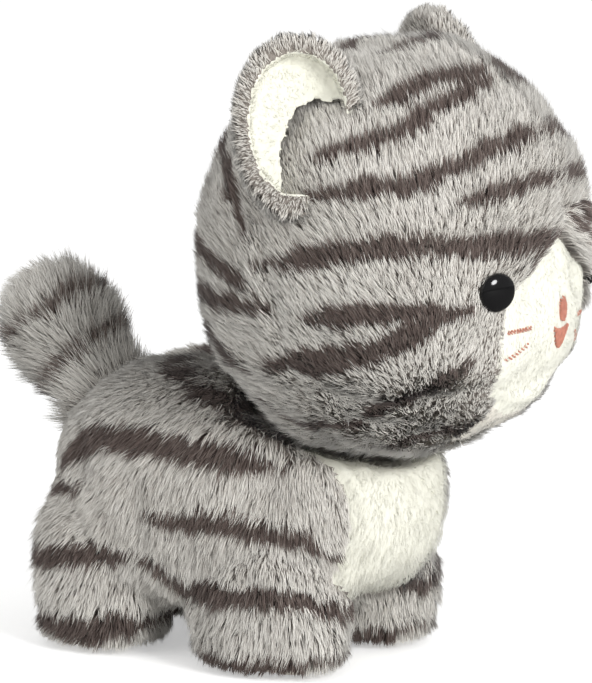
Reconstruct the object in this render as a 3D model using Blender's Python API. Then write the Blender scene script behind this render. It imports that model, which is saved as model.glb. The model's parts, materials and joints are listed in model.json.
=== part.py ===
"""Plush kitten, standing, with a large round head: sewn covers over fibre fill, plastic eyes and stitched features.

Metres, +Z up. The kitten faces -Y, so its right side is at -X. The origin is on the floor, at the middle of the toy.
"""

import math

import bmesh
import bpy
import numpy as np
from mathutils import Matrix, Quaternion, Vector

# Cloth and fits
CLOTH = 0.0025  # pile cloth with its pressed-down root
SEAM_GAP = 0.0003  # between sewn neighbours, and between a cover and its fill
SEAT_GAP = 0.0008  # between the shoulders and the head's path
THREAD_RING = 0.0018  # thickness of a closing seam
TURN_GAP = 0.0006  # between a closing seam and the bed that it turns in
OVERCUT = 0.001  # how far a bore runs out past the end that it opens

# Body and legs
BODY_HALF_WIDTH = 0.048
BODY_HALF_LENGTH = 0.068
BODY_HALF_HEIGHT = 0.0405
BODY_FULLNESS = 2.6  # 2 is an ellipsoid, higher is squarer
RUMP_SWELL = 0.04  # how much wider the rump is than the middle, as a share
BODY_SHIFT = -0.010  # middle of the body, in front of the middle of the feet
BELLY_HEIGHT = 0.015
CHEST_HALF_WIDTH = 0.029
CHEST_FOOT = 0.022  # floor to the bottom edge of the chest panel
BELLY_HALF_WIDTH = 0.020
BELLY_HALF_LENGTH = 0.046
BELLY_FULLNESS = 2.6
LEG_SPREAD = 0.027  # middle line to the middle of a foot
FRONT_LEG_PLACE = 0.0340
REAR_LEG_PLACE = 0.0320
LEG_HALF_WIDTH = 0.0205
FRONT_FOOT_HALF_LENGTH = 0.029
REAR_FOOT_HALF_LENGTH = 0.023
LEG_TOP = 0.050
LEG_FULLNESS = 2.3
FOOT_TUCK = 0.10  # how far the foot draws in at the sole, as a share
FOOT_TUCK_HEIGHT = 0.017  # level at which the foot has its full width
THIGH_TAPER = 0.14  # how far the leg draws in at its top, as a share
SOLE = 0.002

# Head and its seat on the shoulders
HEAD_HALF_WIDTH = 0.0640
HEAD_HALF_DEPTH = 0.0570
HEAD_HALF_HEIGHT = 0.0660
HEAD_FULLNESS = 2.35
CROWN_TAPER = 0.05  # how much the crown narrows and the cheeks widen, as a share
MUZZLE_SWELL = 0.0078
MUZZLE_DROP = math.radians(32)  # below straight ahead
MUZZLE_SPREAD = math.radians(32)
FOREHEAD_SWELL = 0.0045
FOREHEAD_RISE = math.radians(42)  # above straight ahead
FOREHEAD_SPREAD = math.radians(40)
HEAD_SINK = 0.0225  # how far the head sits down below the line of the back
HEAD_OVERHANG = 0.014  # front of the body to the middle of the head
NECK_LEAN = math.radians(23)
NECK_RADIUS = 0.026
NECK_LEDGE = 0.006  # width of the neck's closing seam
HEAD_TURN = math.radians(15)  # each way from straight ahead
HEAD_NOD = math.radians(6)  # each way from level
HEAD_GLANCE = math.radians(6)  # how far the head is turned to its left at rest
HEAD_COCK = math.radians(4)  # how far it tips to its left, as sewn on
BACK_SEAM = 0.012  # middle of the head to the seam behind the ears
BACK_SEAM_LEAN = math.radians(13)
FACE_HALF_WIDTH = 0.029
FACE_LEVEL = -0.012  # widest level of the face, from the middle of the head
FACE_TOP = 0.013
FACE_BOTTOM = -0.050
FACE_FULLNESS = 2.6
CHIN_HALF_WIDTH = 0.016
CHIN_REACH = 0.026  # middle of the head to the rear edge of the chin gusset

# Ears
EAR_HALF_WIDTH = 0.021
EAR_HALF_HEIGHT = 0.0310  # middle of the cup to its top
EAR_DROP = 0.008  # how much farther it is to its lower point
EAR_DEPTH = 0.013
EAR_FULLNESS = 2.2
EAR_STANDOFF = 0.0072  # skin of the head to the middle of the ear
EAR_SIDE = math.radians(95.5)  # seen from above, from straight ahead round to the ear
EAR_RISE = math.radians(39.5)  # above the middle of the head
EAR_FACING = math.radians(61)  # how far the cup turns out to the side
EAR_TILT = math.radians(21)  # how far the cup tips up
EAR_LINING = 0.0022
EAR_RIM = 0.002  # how far the rim comes round past the middle of the cup
EAR_FOLD = math.radians(12)
EAR_GAP = 0.0007

# Eyes and stitching
EYE_RADIUS = 0.0064
EYE_DOME = 0.0034
EYE_EDGE = 0.0008  # straight edge under the dome
EYE_BEVEL = 0.0003
EYE_SIDE = math.radians(32.5)
EYE_DROP = math.radians(5.5)
SHANK_RADIUS = 0.0017
SHANK_LENGTH = 0.009
SHANK_CLEARANCE = 0.0003
WASHER_RADIUS = 0.0060
WASHER_THICKNESS = 0.0015
NOSE_HALF_WIDTH = 0.0033
NOSE_HALF_HEIGHT = 0.0040
NOSE_FULLNESS = 2.2
NOSE_DROP = math.radians(14)
MOUTH_HALF_WIDTH = 0.0060
MOUTH_HEIGHT = 0.0080
MOUTH_LIFT = 0.0014  # how far the corners rise
MOUTH_DIP = 0.0004  # how far the upper edge bows down
MOUTH_DROP = math.radians(22.5)
WHISKER_LENGTH = 0.0105
WHISKER_RADIUS = 0.0006
WHISKER_SIDE = math.radians(21.5)
WHISKER_DROPS = {"upper": math.radians(18), "lower": math.radians(24.5)}
WHISKER_SLANTS = {"upper": math.radians(2), "lower": math.radians(24)}
STITCH_HEIGHT = 0.0008
STITCH_LIFT = 0.0003  # from the cloth to the underside of the stitches
MOUTH_PULL = 0.0008  # how far the mouth's stitches draw down into the muzzle
PAD_CROWN = 0.75  # share of a patch that lies at its full height
PAD_FOOT = 0.55  # share of a patch inside its underside's first ring

# Tail
TAIL_LENGTH = 0.0455
TAIL_RADIUS = 0.0160
TAIL_ROOT_RADIUS = 0.0125
TAIL_LEVEL = math.radians(22)  # where it leaves the body, seen from the middle of the body
TAIL_DEPTH = 0.001  # how far its root sits below the skin of the body
TAIL_ANGLE = math.radians(50)  # carried above level
TAIL_FLARE = math.radians(62)  # where the round root passes into the tail, from its own axis
TAIL_OPENING = math.radians(150)  # the open end that the fill goes in by, from the tail's own axis
TAIL_SEAM_SPAN = (math.radians(72), math.radians(112))  # where the closing seam lies, from the same axis

# Facets
BODY_RINGS, BODY_SEGMENTS = 12, 20
HEAD_RINGS, HEAD_SEGMENTS = 12, 22
BODY_FILL_RINGS, BODY_FILL_SEGMENTS = 8, 14
HEAD_FILL_RINGS, HEAD_FILL_SEGMENTS = 8, 16
LEG_RINGS, LEG_SEGMENTS = 4, 14
EAR_RINGS, EAR_SEGMENTS = 7, 16
TAIL_STEPS, TAIL_SEGMENTS = 4, 14
SEAM_STEPS, SEAM_SEGMENTS = 3, 20
SOCKET_RINGS = 10
EYE_STEPS, EYE_SEGMENTS = 4, 12
FACE_STEPS = 8
BELLY_POINTS, NOSE_POINTS, MOUTH_POINTS = 20, 14, 16
WHISKER_STEPS = 4
NOD_STEPS, TURN_STEPS = 3, 7  # poses that the head's path is taken from
CREASE = math.radians(40)
PIVOT_MARK = 0.01
FAR = 0.2  # cutters reach this far past the toy

RIGHT, LEFT = -1, 1
SIDES = {"left": LEFT, "right": RIGHT}


def unit(vector):
    vector = np.asarray(vector, float)
    return vector / np.linalg.norm(vector)


def rotation(axis, angle):
    return np.array(Matrix.Rotation(angle, 3, Vector(axis)))


# Colours and finishes
def finish(name, colour, roughness):
    made = bpy.data.materials.new(name)
    made.use_nodes = True
    shader = made.node_tree.nodes["Principled BSDF"]
    shader.inputs["Base Color"].default_value = (*colour, 1.0)
    shader.inputs["Roughness"].default_value = roughness
    shader.inputs["Metallic"].default_value = 0.0
    return made


def finishes():
    return {
        "tabby": finish("tabby_pile", (0.45, 0.42, 0.39), 0.9),
        "cream": finish("cream_pile", (0.87, 0.86, 0.79), 0.9),
        "sole": finish("sole_pile", (0.60, 0.58, 0.55), 0.9),
        "fill": finish("fibre_fill", (0.90, 0.90, 0.88), 0.95),
        "thread": finish("grey_thread", (0.35, 0.33, 0.31), 0.8),
        "rose": finish("rose_thread", (0.72, 0.27, 0.17), 0.6),
        "eye": finish("black_gloss", (0.006, 0.005, 0.005), 0.08),
        "washer": finish("white_plastic", (0.80, 0.80, 0.78), 0.45),
    }


# Building blocks
def object_from(name, bm):
    bmesh.ops.triangulate(bm, faces=bm.faces)
    bmesh.ops.recalc_face_normals(bm, faces=bm.faces)
    mesh = bpy.data.meshes.new(name)
    bm.to_mesh(mesh)
    bm.free()
    made = bpy.data.objects.new(name, mesh)
    bpy.context.scene.collection.objects.link(made)
    return made


def skinned(name, loops, first_pole=None, last_pole=None, around=False):
    """A closed form over rings of points: poles close its ends, or around joins the last ring to the first."""
    bm = bmesh.new()
    rings = [[bm.verts.new(point) for point in loop] for loop in loops]
    pairs = list(zip(rings, rings[1:]))
    if around:
        pairs.append((rings[-1], rings[0]))
    count = len(rings[0])
    for low, high in pairs:
        for i in range(count):
            j = (i + 1) % count
            bm.faces.new((low[i], low[j], high[j], high[i]))
    for pole, ring in ((first_pole, rings[0]), (last_pole, rings[-1])):
        if pole is not None:
            tip = bm.verts.new(pole)
            for i in range(count):
                bm.faces.new((tip, ring[i], ring[(i + 1) % count]))
    return object_from(name, bm)


def swollen(name, centre, radius_of, rings, segments, pole=(0, 0, 1)):
    """A stuffed form: its skin lies radius_of(direction) from its centre. Rings run round the pole."""
    pole = unit(pole)
    side = unit(np.cross(pole, (1, 0, 0)))
    other = np.cross(pole, side)
    angles = 2 * math.pi * np.arange(segments) / segments
    loops = []
    for k in range(1, rings):
        tilt = math.pi * k / rings
        around = np.outer(np.cos(angles), other) + np.outer(np.sin(angles), side)
        directions = math.cos(tilt) * pole + math.sin(tilt) * around
        loops.append(centre + radius_of(directions)[:, None] * directions)
    ends = [centre + radius_of(end[None])[0] * end for end in (pole, -pole)]
    return skinned(name, loops, ends[0], ends[1])


def turned(name, profile, base, axis, segments, closed=False):
    """A turned form: profile is (distance along the axis, radius). A closed profile makes a ring."""
    axis = unit(axis)
    side = unit(np.cross(axis, (1, 0, 0) if abs(axis[0]) < 0.9 else (0, 1, 0)))
    other = np.cross(axis, side)
    angles = 2 * math.pi * np.arange(segments) / segments
    around = np.outer(np.cos(angles), side) + np.outer(np.sin(angles), other)
    inner = profile if closed else profile[1:-1]
    loops = [base + along * axis + radius * around for along, radius in inner]
    if closed:
        return skinned(name, loops, around=True)
    return skinned(name, loops, base + profile[0][0] * axis, base + profile[-1][0] * axis)


def prism(name, outline, place):
    """A straight-sided cutter: place(point, end) puts an outline's point at end 0 or end 1 of the cut."""
    bm = bmesh.new()
    ends = [[bm.verts.new(place(point, end)) for point in outline] for end in (0, 1)]
    count = len(outline)
    for i in range(count):
        j = (i + 1) % count
        bm.faces.new((ends[0][i], ends[0][j], ends[1][j], ends[1][i]))
    for end in ends:
        bm.faces.new(end)
    return object_from(name, bm)


def block(name, low, high):
    corners = [(low[0], low[1]), (high[0], low[1]), (high[0], high[1]), (low[0], high[1])]
    return prism(name, corners, lambda point, end: (*point, (low, high)[end][2]))


def half_space(sign):
    """Everything on one side of the middle seam."""
    edges = sorted((sign * SEAM_GAP / 2, sign * FAR))
    return block("half", (edges[0], -FAR, -FAR), (edges[1], FAR, 2 * FAR))


def shaped(obj, cutter, operation, keep=False):
    """Applies one Boolean to obj. The cutter goes, unless it is kept for another piece.

    The exact solver leaves open edges on these thin covers, so the manifold one is used.
    """
    modifier = obj.modifiers.new("shape", "BOOLEAN")
    modifier.operation = operation
    modifier.solver = "MANIFOLD"
    modifier.object = cutter
    evaluated = obj.evaluated_get(bpy.context.evaluated_depsgraph_get())
    result = bpy.data.meshes.new_from_object(evaluated)
    obj.modifiers.remove(modifier)
    old = obj.data
    obj.data = result
    bpy.data.meshes.remove(old)
    if not keep:
        bpy.data.objects.remove(cutter)
    return obj


def copied(obj, name):
    twin = obj.copy()
    twin.data = obj.data.copy()
    twin.name = name
    bpy.context.scene.collection.objects.link(twin)
    return twin


def hollow(name, outer, inner):
    """A cover: the outer form with the inner one taken out of it."""
    shell = shaped(outer, inner, "DIFFERENCE")
    shell.name = name
    return shell


def superellipsoid(directions, halves, fullness):
    return (np.abs(directions / halves) ** fullness).sum(axis=-1) ** (-1 / fullness)


def superellipse(half_a, half_b, fullness, count):
    angles = 2 * math.pi * (np.arange(count) + 0.5) / count
    cos, sin = np.cos(angles), np.sin(angles)
    return np.stack(
        [
            half_a * np.sign(cos) * np.abs(cos) ** (2 / fullness),
            half_b * np.sign(sin) * np.abs(sin) ** (2 / fullness),
        ],
        axis=1,
    )


# Body form
BODY_CENTRE = np.array([0, BODY_SHIFT, BELLY_HEIGHT + BODY_HALF_HEIGHT])


def body_radius(directions, inset=0.0):
    """Skin of the body along each direction from its middle: squarish, and wider at the rump."""
    halves = np.empty(directions.shape)
    halves[:, 0] = (BODY_HALF_WIDTH - inset) * (1 + RUMP_SWELL * directions[:, 1])
    halves[:, 1] = BODY_HALF_LENGTH - inset
    halves[:, 2] = BODY_HALF_HEIGHT - inset
    return superellipsoid(directions, halves, BODY_FULLNESS)


def body_form(name, inset, coarse=False):
    rings, segments = BODY_RINGS, BODY_SEGMENTS
    if coarse:
        rings, segments = BODY_FILL_RINGS, BODY_FILL_SEGMENTS
    return swollen(
        name, BODY_CENTRE, lambda u: body_radius(u, inset), rings, segments, pole=(0, 1, 0)
    )


# Head form
HEAD_CENTRE = np.array(
    [
        0,
        BODY_SHIFT - BODY_HALF_LENGTH + HEAD_OVERHANG,
        BELLY_HEIGHT + 2 * BODY_HALF_HEIGHT - HEAD_SINK + HEAD_HALF_HEIGHT,
    ]
)
NECK_AXIS = np.array([0, -math.sin(NECK_LEAN), math.cos(NECK_LEAN)])


def face_direction(side, drop):
    """Round the face to the side (+X positive) and down from straight ahead."""
    level = math.cos(drop)
    return np.array([level * math.sin(side), -level * math.cos(side), -math.sin(drop)])


def head_radius(directions, inset=0.0):
    """Skin of the head along each direction from its middle: full cheeks, forehead and muzzle, and a narrower crown."""
    halves = np.empty(directions.shape)
    halves[:, 0] = (HEAD_HALF_WIDTH - inset) * (1 - CROWN_TAPER * directions[:, 2])
    halves[:, 1] = HEAD_HALF_DEPTH - inset
    halves[:, 2] = HEAD_HALF_HEIGHT - inset
    swells = np.zeros(len(directions))
    for swell, drop, spread in (
        (MUZZLE_SWELL, MUZZLE_DROP, MUZZLE_SPREAD),
        (FOREHEAD_SWELL, -FOREHEAD_RISE, FOREHEAD_SPREAD),
    ):
        off = np.arccos(np.clip(directions @ face_direction(0, drop), -1, 1))
        swells += swell * np.exp(-((off / spread) ** 2))
    return superellipsoid(directions, halves, HEAD_FULLNESS) + swells


def nods():
    angles = np.linspace(-HEAD_NOD, HEAD_NOD, NOD_STEPS)
    cock = rotation((0, 1, 0), HEAD_COCK)
    return [rotation((1, 0, 0), angle) @ cock for angle in angles]


def nodded_radius(directions):
    """The farthest that the head's skin comes along each direction as it nods."""
    return np.max([head_radius(directions @ nod) for nod in nods()], axis=0)


def swept_radius(directions):
    """The same as it nods and turns."""
    angles = np.linspace(-HEAD_TURN, HEAD_TURN, TURN_STEPS)
    turns = [rotation(NECK_AXIS, angle) for angle in angles]
    return np.max([nodded_radius(directions @ turn) for turn in turns], axis=0)


def head_form(name, offset):
    return swollen(
        name, HEAD_CENTRE, lambda u: head_radius(u) + offset, HEAD_RINGS, HEAD_SEGMENTS
    )


def head_seat(name, depth):
    """The hollow in the shoulders that the head turns and nods in. Its facets lie outside the head's path."""
    facet = math.cos(math.pi / HEAD_SEGMENTS) * math.cos(math.pi / (2 * HEAD_RINGS))
    return swollen(
        name,
        HEAD_CENTRE,
        lambda u: (swept_radius(u) + SEAT_GAP) / facet + depth,
        HEAD_RINGS,
        HEAD_SEGMENTS,
    )


def on_head(direction, lift=0.0):
    direction = unit(direction)
    return HEAD_CENTRE + (head_radius(direction[None])[0] + lift) * direction


# Neck seam, which turns on the body and carries the head
def neck_ring_radius():
    """Middle of the head to the inner face of the neck seam: clear of the head as it nods."""
    tilts = np.linspace(0, math.asin(NECK_RADIUS / HEAD_HALF_HEIGHT), SEAM_SEGMENTS)
    spins = np.linspace(0, 2 * math.pi, SEAM_SEGMENTS, endpoint=False)
    side = np.array([1, 0, 0])
    other = np.cross(NECK_AXIS, side)
    directions = np.array(
        [
            -math.cos(tilt) * NECK_AXIS
            + math.sin(tilt) * (math.cos(spin) * side + math.sin(spin) * other)
            for tilt in tilts
            for spin in spins
        ]
    )
    return nodded_radius(directions).max() + SEAM_GAP


def neck_seam():
    inner_face = neck_ring_radius()
    outer_face = inner_face + THREAD_RING
    near = math.asin((NECK_RADIUS - NECK_LEDGE) / inner_face)
    tilts = np.linspace(near, math.asin(NECK_RADIUS / outer_face), SEAM_STEPS)
    face = [(inner_face * math.cos(t), inner_face * math.sin(t)) for t in tilts]
    back = [(outer_face * math.cos(t), outer_face * math.sin(t)) for t in tilts[::-1]]
    return turned("neck_seam", face + back, HEAD_CENTRE, -NECK_AXIS, SEAM_SEGMENTS, closed=True)


def neck_pocket(name, deeper=0.0):
    """Where the neck seam sits: through the body's cover and a little into its fill."""
    bottom = neck_ring_radius() + THREAD_RING + TURN_GAP + deeper
    radius = NECK_RADIUS + TURN_GAP
    rim = math.asin(radius / bottom)
    tilts = np.linspace(0, rim, SEAM_STEPS + 1)
    floor = [(bottom * math.cos(t), bottom * math.sin(t)) for t in tilts]
    profile = [*floor, (HEAD_HALF_HEIGHT / 2, radius), (HEAD_HALF_HEIGHT / 2, 0)]
    return turned(name, profile, HEAD_CENTRE, -NECK_AXIS, SEAM_SEGMENTS)


# Body covers and fill
def tail_frame():
    """Where the tail's root sits, and the way the tail points."""
    direction = np.array([0, math.cos(TAIL_LEVEL), math.sin(TAIL_LEVEL)])
    depth = body_radius(direction[None])[0] - TAIL_DEPTH
    return BODY_CENTRE + depth * direction, np.array([0, math.cos(TAIL_ANGLE), math.sin(TAIL_ANGLE)])


def tail_socket(name):
    root, axis = tail_frame()
    radius = TAIL_ROOT_RADIUS + TURN_GAP + THREAD_RING + TURN_GAP
    return swollen(
        name, root, lambda u: np.full(len(u), radius), SOCKET_RINGS, SEAM_SEGMENTS, pole=axis
    )


def body_pieces():
    pieces = {}
    outer = body_form("outer", 0)
    inner = shaped(body_form("inner", CLOTH, True), head_seat("seat", CLOTH), "DIFFERENCE")
    outer = shaped(outer, head_seat("seat", 0), "DIFFERENCE")
    cover = hollow("cover", outer, inner)
    cover = shaped(cover, neck_pocket("pocket", 2 * CLOTH), "DIFFERENCE")
    cover = shaped(cover, tail_socket("socket"), "DIFFERENCE")

    fill = body_form("body_stuffing", CLOTH + SEAM_GAP, True)
    fill = shaped(fill, head_seat("seat", CLOTH + SEAM_GAP), "DIFFERENCE")
    fill = shaped(fill, neck_pocket("pocket"), "DIFFERENCE")
    pieces["body_stuffing"] = shaped(fill, tail_socket("socket"), "DIFFERENCE")

    front = BODY_CENTRE[1] - BODY_HALF_LENGTH
    top = BODY_CENTRE[2] + BODY_HALF_HEIGHT

    def chest_block(name, margin):
        half = CHEST_HALF_WIDTH + margin
        low = (-half, front - FAR, CHEST_FOOT - margin)
        return block(name, low, (half, front + BODY_HALF_LENGTH / 2, top + FAR))

    def belly_prism(name, margin):
        halves = (BELLY_HALF_WIDTH + margin, BELLY_HALF_LENGTH + margin)
        outline = superellipse(*halves, BELLY_FULLNESS, BELLY_POINTS)
        levels = (BELLY_HEIGHT - FAR, BODY_CENTRE[2])
        return prism(name, outline, lambda p, end: (p[0], p[1] + BODY_SHIFT, levels[end]))

    half_gap = SEAM_GAP / 2
    pieces["chest_panel"] = shaped(
        copied(cover, "chest_panel"), chest_block("chest", -half_gap), "INTERSECT"
    )
    cover = shaped(cover, chest_block("chest", half_gap), "DIFFERENCE")
    pieces["belly_panel"] = shaped(
        copied(cover, "belly_panel"), belly_prism("belly", -half_gap), "INTERSECT"
    )
    cover = shaped(cover, belly_prism("belly", half_gap), "DIFFERENCE")
    for side, sign in SIDES.items():
        name = "body_side_" + side
        pieces[name] = shaped(copied(cover, name), half_space(sign), "INTERSECT")
    bpy.data.objects.remove(cover)
    return pieces


# Legs
def leg_loop(place, half_length, height, inset):
    """One level of a leg: drawn in at the sole and again towards the thigh."""
    tuck = FOOT_TUCK * max(0.0, 1 - height / FOOT_TUCK_HEIGHT) ** 2
    share = 1 - tuck - THIGH_TAPER * (height / LEG_TOP) ** 2
    outline = superellipse(
        LEG_HALF_WIDTH * share - inset, half_length * share - inset, LEG_FULLNESS, LEG_SEGMENTS
    )
    return [(place[0] + x, place[1] + y, height) for x, y in outline]


def leg_form(name, place, half_length, inset, low, high, rings=LEG_RINGS):
    heights = np.linspace(low, high, rings)
    loops = [leg_loop(place, half_length, height, inset) for height in heights]
    return skinned(name, loops, (*place, low), (*place, high))


def leg_pieces(name, place, half_length):
    floor = SOLE + SEAM_GAP
    cover = leg_form(name + "_leg", place, half_length, 0, floor, LEG_TOP)
    bore = leg_form("bore", place, half_length, CLOTH, floor - OVERCUT, LEG_TOP + OVERCUT)
    cover = hollow(name + "_leg", cover, bore)
    fill_name = name + "_leg_stuffing"
    fill = leg_form(fill_name, place, half_length, CLOTH + SEAM_GAP, floor, LEG_TOP)
    body = body_form("body", -SEAM_GAP)
    cover = shaped(cover, body, "DIFFERENCE", keep=True)
    fill = shaped(fill, body, "DIFFERENCE")
    sole = leg_form(name + "_sole", place, half_length, 0, 0, SOLE, rings=2)
    return {piece.name: piece for piece in (cover, fill, sole)}


def all_legs():
    pieces = {}
    for end, place, half_length in (
        ("front", -FRONT_LEG_PLACE, FRONT_FOOT_HALF_LENGTH),
        ("rear", REAR_LEG_PLACE, REAR_FOOT_HALF_LENGTH),
    ):
        for side, sign in SIDES.items():
            pieces |= leg_pieces(f"{end}_{side}", (sign * LEG_SPREAD, place), half_length)
    return pieces


# Tail
def tail_profile(inset):
    """Root ball, then a flank that fattens along a cosine, then a round tip."""
    root = TAIL_ROOT_RADIUS - inset
    ball = [
        (root * math.cos(angle), root * math.sin(angle))
        for angle in np.linspace(TAIL_OPENING, TAIL_FLARE, TAIL_STEPS)
    ]
    start, narrow = ball[-1]
    fat = TAIL_RADIUS - inset
    tip_start = TAIL_LENGTH - TAIL_RADIUS
    flank = [
        (
            start + (tip_start - start) * share,
            narrow + (fat - narrow) * (1 - math.cos(math.pi * share)) / 2,
        )
        for share in np.linspace(0, 1, TAIL_STEPS)[1:]
    ]
    tip = [
        (tip_start + fat * math.sin(angle), fat * math.cos(angle))
        for angle in np.linspace(0, math.pi / 2, TAIL_STEPS + 1)[1:-1]
    ]
    return [(ball[0][0], 0), *ball, *flank, *tip, (tip_start + fat, 0)]


def tail_pieces():
    root, axis = tail_frame()
    cover = turned("tail_cover", tail_profile(0), root, axis, TAIL_SEGMENTS)
    bore = tail_profile(CLOTH)
    mouth = bore[0][0] - CLOTH - OVERCUT
    bore = [(mouth, 0), (mouth, bore[1][1]), *bore[1:]]
    cover = hollow("tail_cover", cover, turned("bore", bore, root, axis, TAIL_SEGMENTS))
    fill = turned("tail_stuffing", tail_profile(CLOTH + SEAM_GAP), root, axis, TAIL_SEGMENTS)
    inner = TAIL_ROOT_RADIUS + TURN_GAP
    outer = inner + THREAD_RING
    angles = np.linspace(*TAIL_SEAM_SPAN, SEAM_STEPS)
    face = [(inner * math.cos(a), inner * math.sin(a)) for a in angles]
    back = [(outer * math.cos(a), outer * math.sin(a)) for a in angles[::-1]]
    seam = turned("tail_seam", face + back, root, axis, SEAM_SEGMENTS, closed=True)
    return {"tail_cover": cover, "tail_stuffing": fill}, {"tail_seam": seam}


# Head covers and fill
def face_outline(margin):
    """Half widths up the face: a full round jaw, and a bell curve up to the point between the brows."""
    half = FACE_HALF_WIDTH + margin
    jaw, brow = [], []
    for k in range(FACE_STEPS):
        angle = math.pi / 2 * k / FACE_STEPS
        width = half * math.cos(angle) ** (2 / FACE_FULLNESS)
        drop = (FACE_LEVEL - FACE_BOTTOM + margin) * math.sin(angle) ** (2 / FACE_FULLNESS)
        jaw.append((width, FACE_LEVEL - drop))
        share = (k + 1) / FACE_STEPS
        rise = (FACE_TOP - FACE_LEVEL + margin) * share
        brow.append((half * (1 + math.cos(math.pi * share)) / 2, FACE_LEVEL + rise))
    bottom = (0, FACE_BOTTOM - margin)
    right_side = [*jaw[::-1], *brow]
    left_side = [(-x, z) for x, z in right_side[::-1] if x > 1e-9]
    return [bottom, *right_side, *left_side]


def face_prism(name, margin):
    depths = (HEAD_CENTRE[1] - FAR, HEAD_CENTRE[1] - HEAD_HALF_DEPTH / 4)
    return prism(
        name, face_outline(margin), lambda p, end: (p[0], depths[end], HEAD_CENTRE[2] + p[1])
    )


def back_block(name, margin):
    """Everything behind the seam that runs down from the ears, leaning back towards the nape."""
    made = block(name, (-FAR, BACK_SEAM - margin, -FAR), (FAR, FAR * 2, FAR))
    lean = Matrix.Rotation(-BACK_SEAM_LEAN, 4, "X")
    made.data.transform(Matrix.Translation(HEAD_CENTRE) @ lean)
    return made


def chin_block(name, margin):
    half = CHIN_HALF_WIDTH + margin
    rear = HEAD_CENTRE[1] - CHIN_REACH + margin
    low = (-half, HEAD_CENTRE[1] - FAR, HEAD_CENTRE[2] - FAR)
    return block(name, low, (half, rear, HEAD_CENTRE[2] + FACE_LEVEL))


def eye_frame(sign):
    direction = face_direction(sign * EYE_SIDE, EYE_DROP)
    return on_head(direction), direction


def eye_cutters(name, radius, depth, top):
    """Two shank holes, or two washer beds, as one cutter each."""
    made = []
    for sign in SIDES.values():
        base, direction = eye_frame(sign)
        profile = [(-depth, 0), (-depth, radius), (top, radius), (top, 0)]
        made.append(turned(name, profile, base, direction, EYE_SEGMENTS))
    return made


def shank_holes():
    depth = SHANK_LENGTH + SEAM_GAP
    return eye_cutters("hole", SHANK_RADIUS + SHANK_CLEARANCE, depth, EYE_DOME)


def washer_beds():
    depth = CLOTH + SEAM_GAP + WASHER_THICKNESS + SEAM_GAP
    return eye_cutters("bed", WASHER_RADIUS + SEAM_GAP, depth, -CLOTH)


def head_pieces():
    pieces = {}
    half_gap = SEAM_GAP / 2
    cover = hollow("cover", head_form("outer", 0), head_inner("inner", CLOTH))
    mouth = turned(
        "mouth",
        [(0, 0), (0, NECK_RADIUS - NECK_LEDGE), (FAR, NECK_RADIUS - NECK_LEDGE), (FAR, 0)],
        HEAD_CENTRE,
        -NECK_AXIS,
        SEAM_SEGMENTS,
    )
    cover = shaped(cover, mouth, "DIFFERENCE")
    for cutter in shank_holes() + washer_beds():
        cover = shaped(cover, cutter, "DIFFERENCE")
    pieces["face_panel"] = shaped(
        copied(cover, "face_panel"), face_prism("face", -half_gap), "INTERSECT"
    )
    cover = shaped(cover, face_prism("face", half_gap), "DIFFERENCE")
    pieces["head_back"] = shaped(
        copied(cover, "head_back"), back_block("back", -half_gap), "INTERSECT"
    )
    cover = shaped(cover, back_block("back", half_gap), "DIFFERENCE")
    pieces["chin_gusset"] = shaped(
        copied(cover, "chin_gusset"), chin_block("chin", -half_gap), "INTERSECT"
    )
    cover = shaped(cover, chin_block("chin", half_gap), "DIFFERENCE")
    for side, sign in SIDES.items():
        name = "head_side_" + side
        pieces[name] = shaped(copied(cover, name), half_space(sign), "INTERSECT")
    bpy.data.objects.remove(cover)

    fill = head_inner("head_stuffing", CLOTH + SEAM_GAP)
    for cutter in shank_holes() + washer_beds():
        fill = shaped(fill, cutter, "DIFFERENCE")
    pieces["head_stuffing"] = fill
    return pieces


def head_inner(name, inset):
    return swollen(
        name,
        HEAD_CENTRE,
        lambda u: head_radius(u, inset),
        HEAD_FILL_RINGS,
        HEAD_FILL_SEGMENTS,
    )


# Eyes, with a moulded shank and a lock washer behind the cloth
def eye_pieces():
    pieces = {}
    for side, sign in SIDES.items():
        base, direction = eye_frame(sign)
        dome = [
            (SEAM_GAP + EYE_EDGE + EYE_DOME * math.sin(a), EYE_RADIUS * math.cos(a))
            for a in np.linspace(math.pi / 2, 0, EYE_STEPS + 1)[1:]
        ]
        top = (SEAM_GAP + EYE_EDGE + EYE_DOME, 0)
        rim = [(SEAM_GAP, EYE_RADIUS - EYE_BEVEL), (SEAM_GAP, SHANK_RADIUS)]
        shank = [(-SHANK_LENGTH, SHANK_RADIUS), (-SHANK_LENGTH, 0)]
        name = "eye_" + side
        pieces[name] = turned(name, [top, *dome, *rim, *shank], base, direction, EYE_SEGMENTS)
        name = "eye_washer_" + side
        hole = SHANK_RADIUS + SHANK_CLEARANCE
        high = -CLOTH - SEAM_GAP
        low = high - WASHER_THICKNESS
        ring = [(low, hole), (low, WASHER_RADIUS), (high, WASHER_RADIUS), (high, hole)]
        pieces[name] = turned(name, ring, base, direction, EYE_SEGMENTS, closed=True)
    return pieces


# Stitched features
def stitched_pad(name, direction, outline, pull=0.0):
    """A raised patch of satin stitch: outline is (right, up) from the middle of the patch."""
    direction = unit(direction)
    right = unit(np.cross((0, 0, 1), -direction))
    up = np.cross(-direction, right)
    reach = head_radius(direction[None])[0]
    foot = STITCH_LIFT - pull

    def lifted(share, lift):
        return [
            on_head(reach * direction + share * (x * right + z * up), foot + lift)
            for x, z in outline
        ]

    middle_low = on_head(direction, foot)
    middle_high = on_head(direction, foot + STITCH_HEIGHT)
    loops = [
        lifted(PAD_FOOT, 0),
        lifted(1, 0),
        lifted(1, STITCH_HEIGHT / 2),
        lifted(PAD_CROWN, STITCH_HEIGHT),
    ]
    return skinned(name, loops, middle_low, middle_high)


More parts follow.
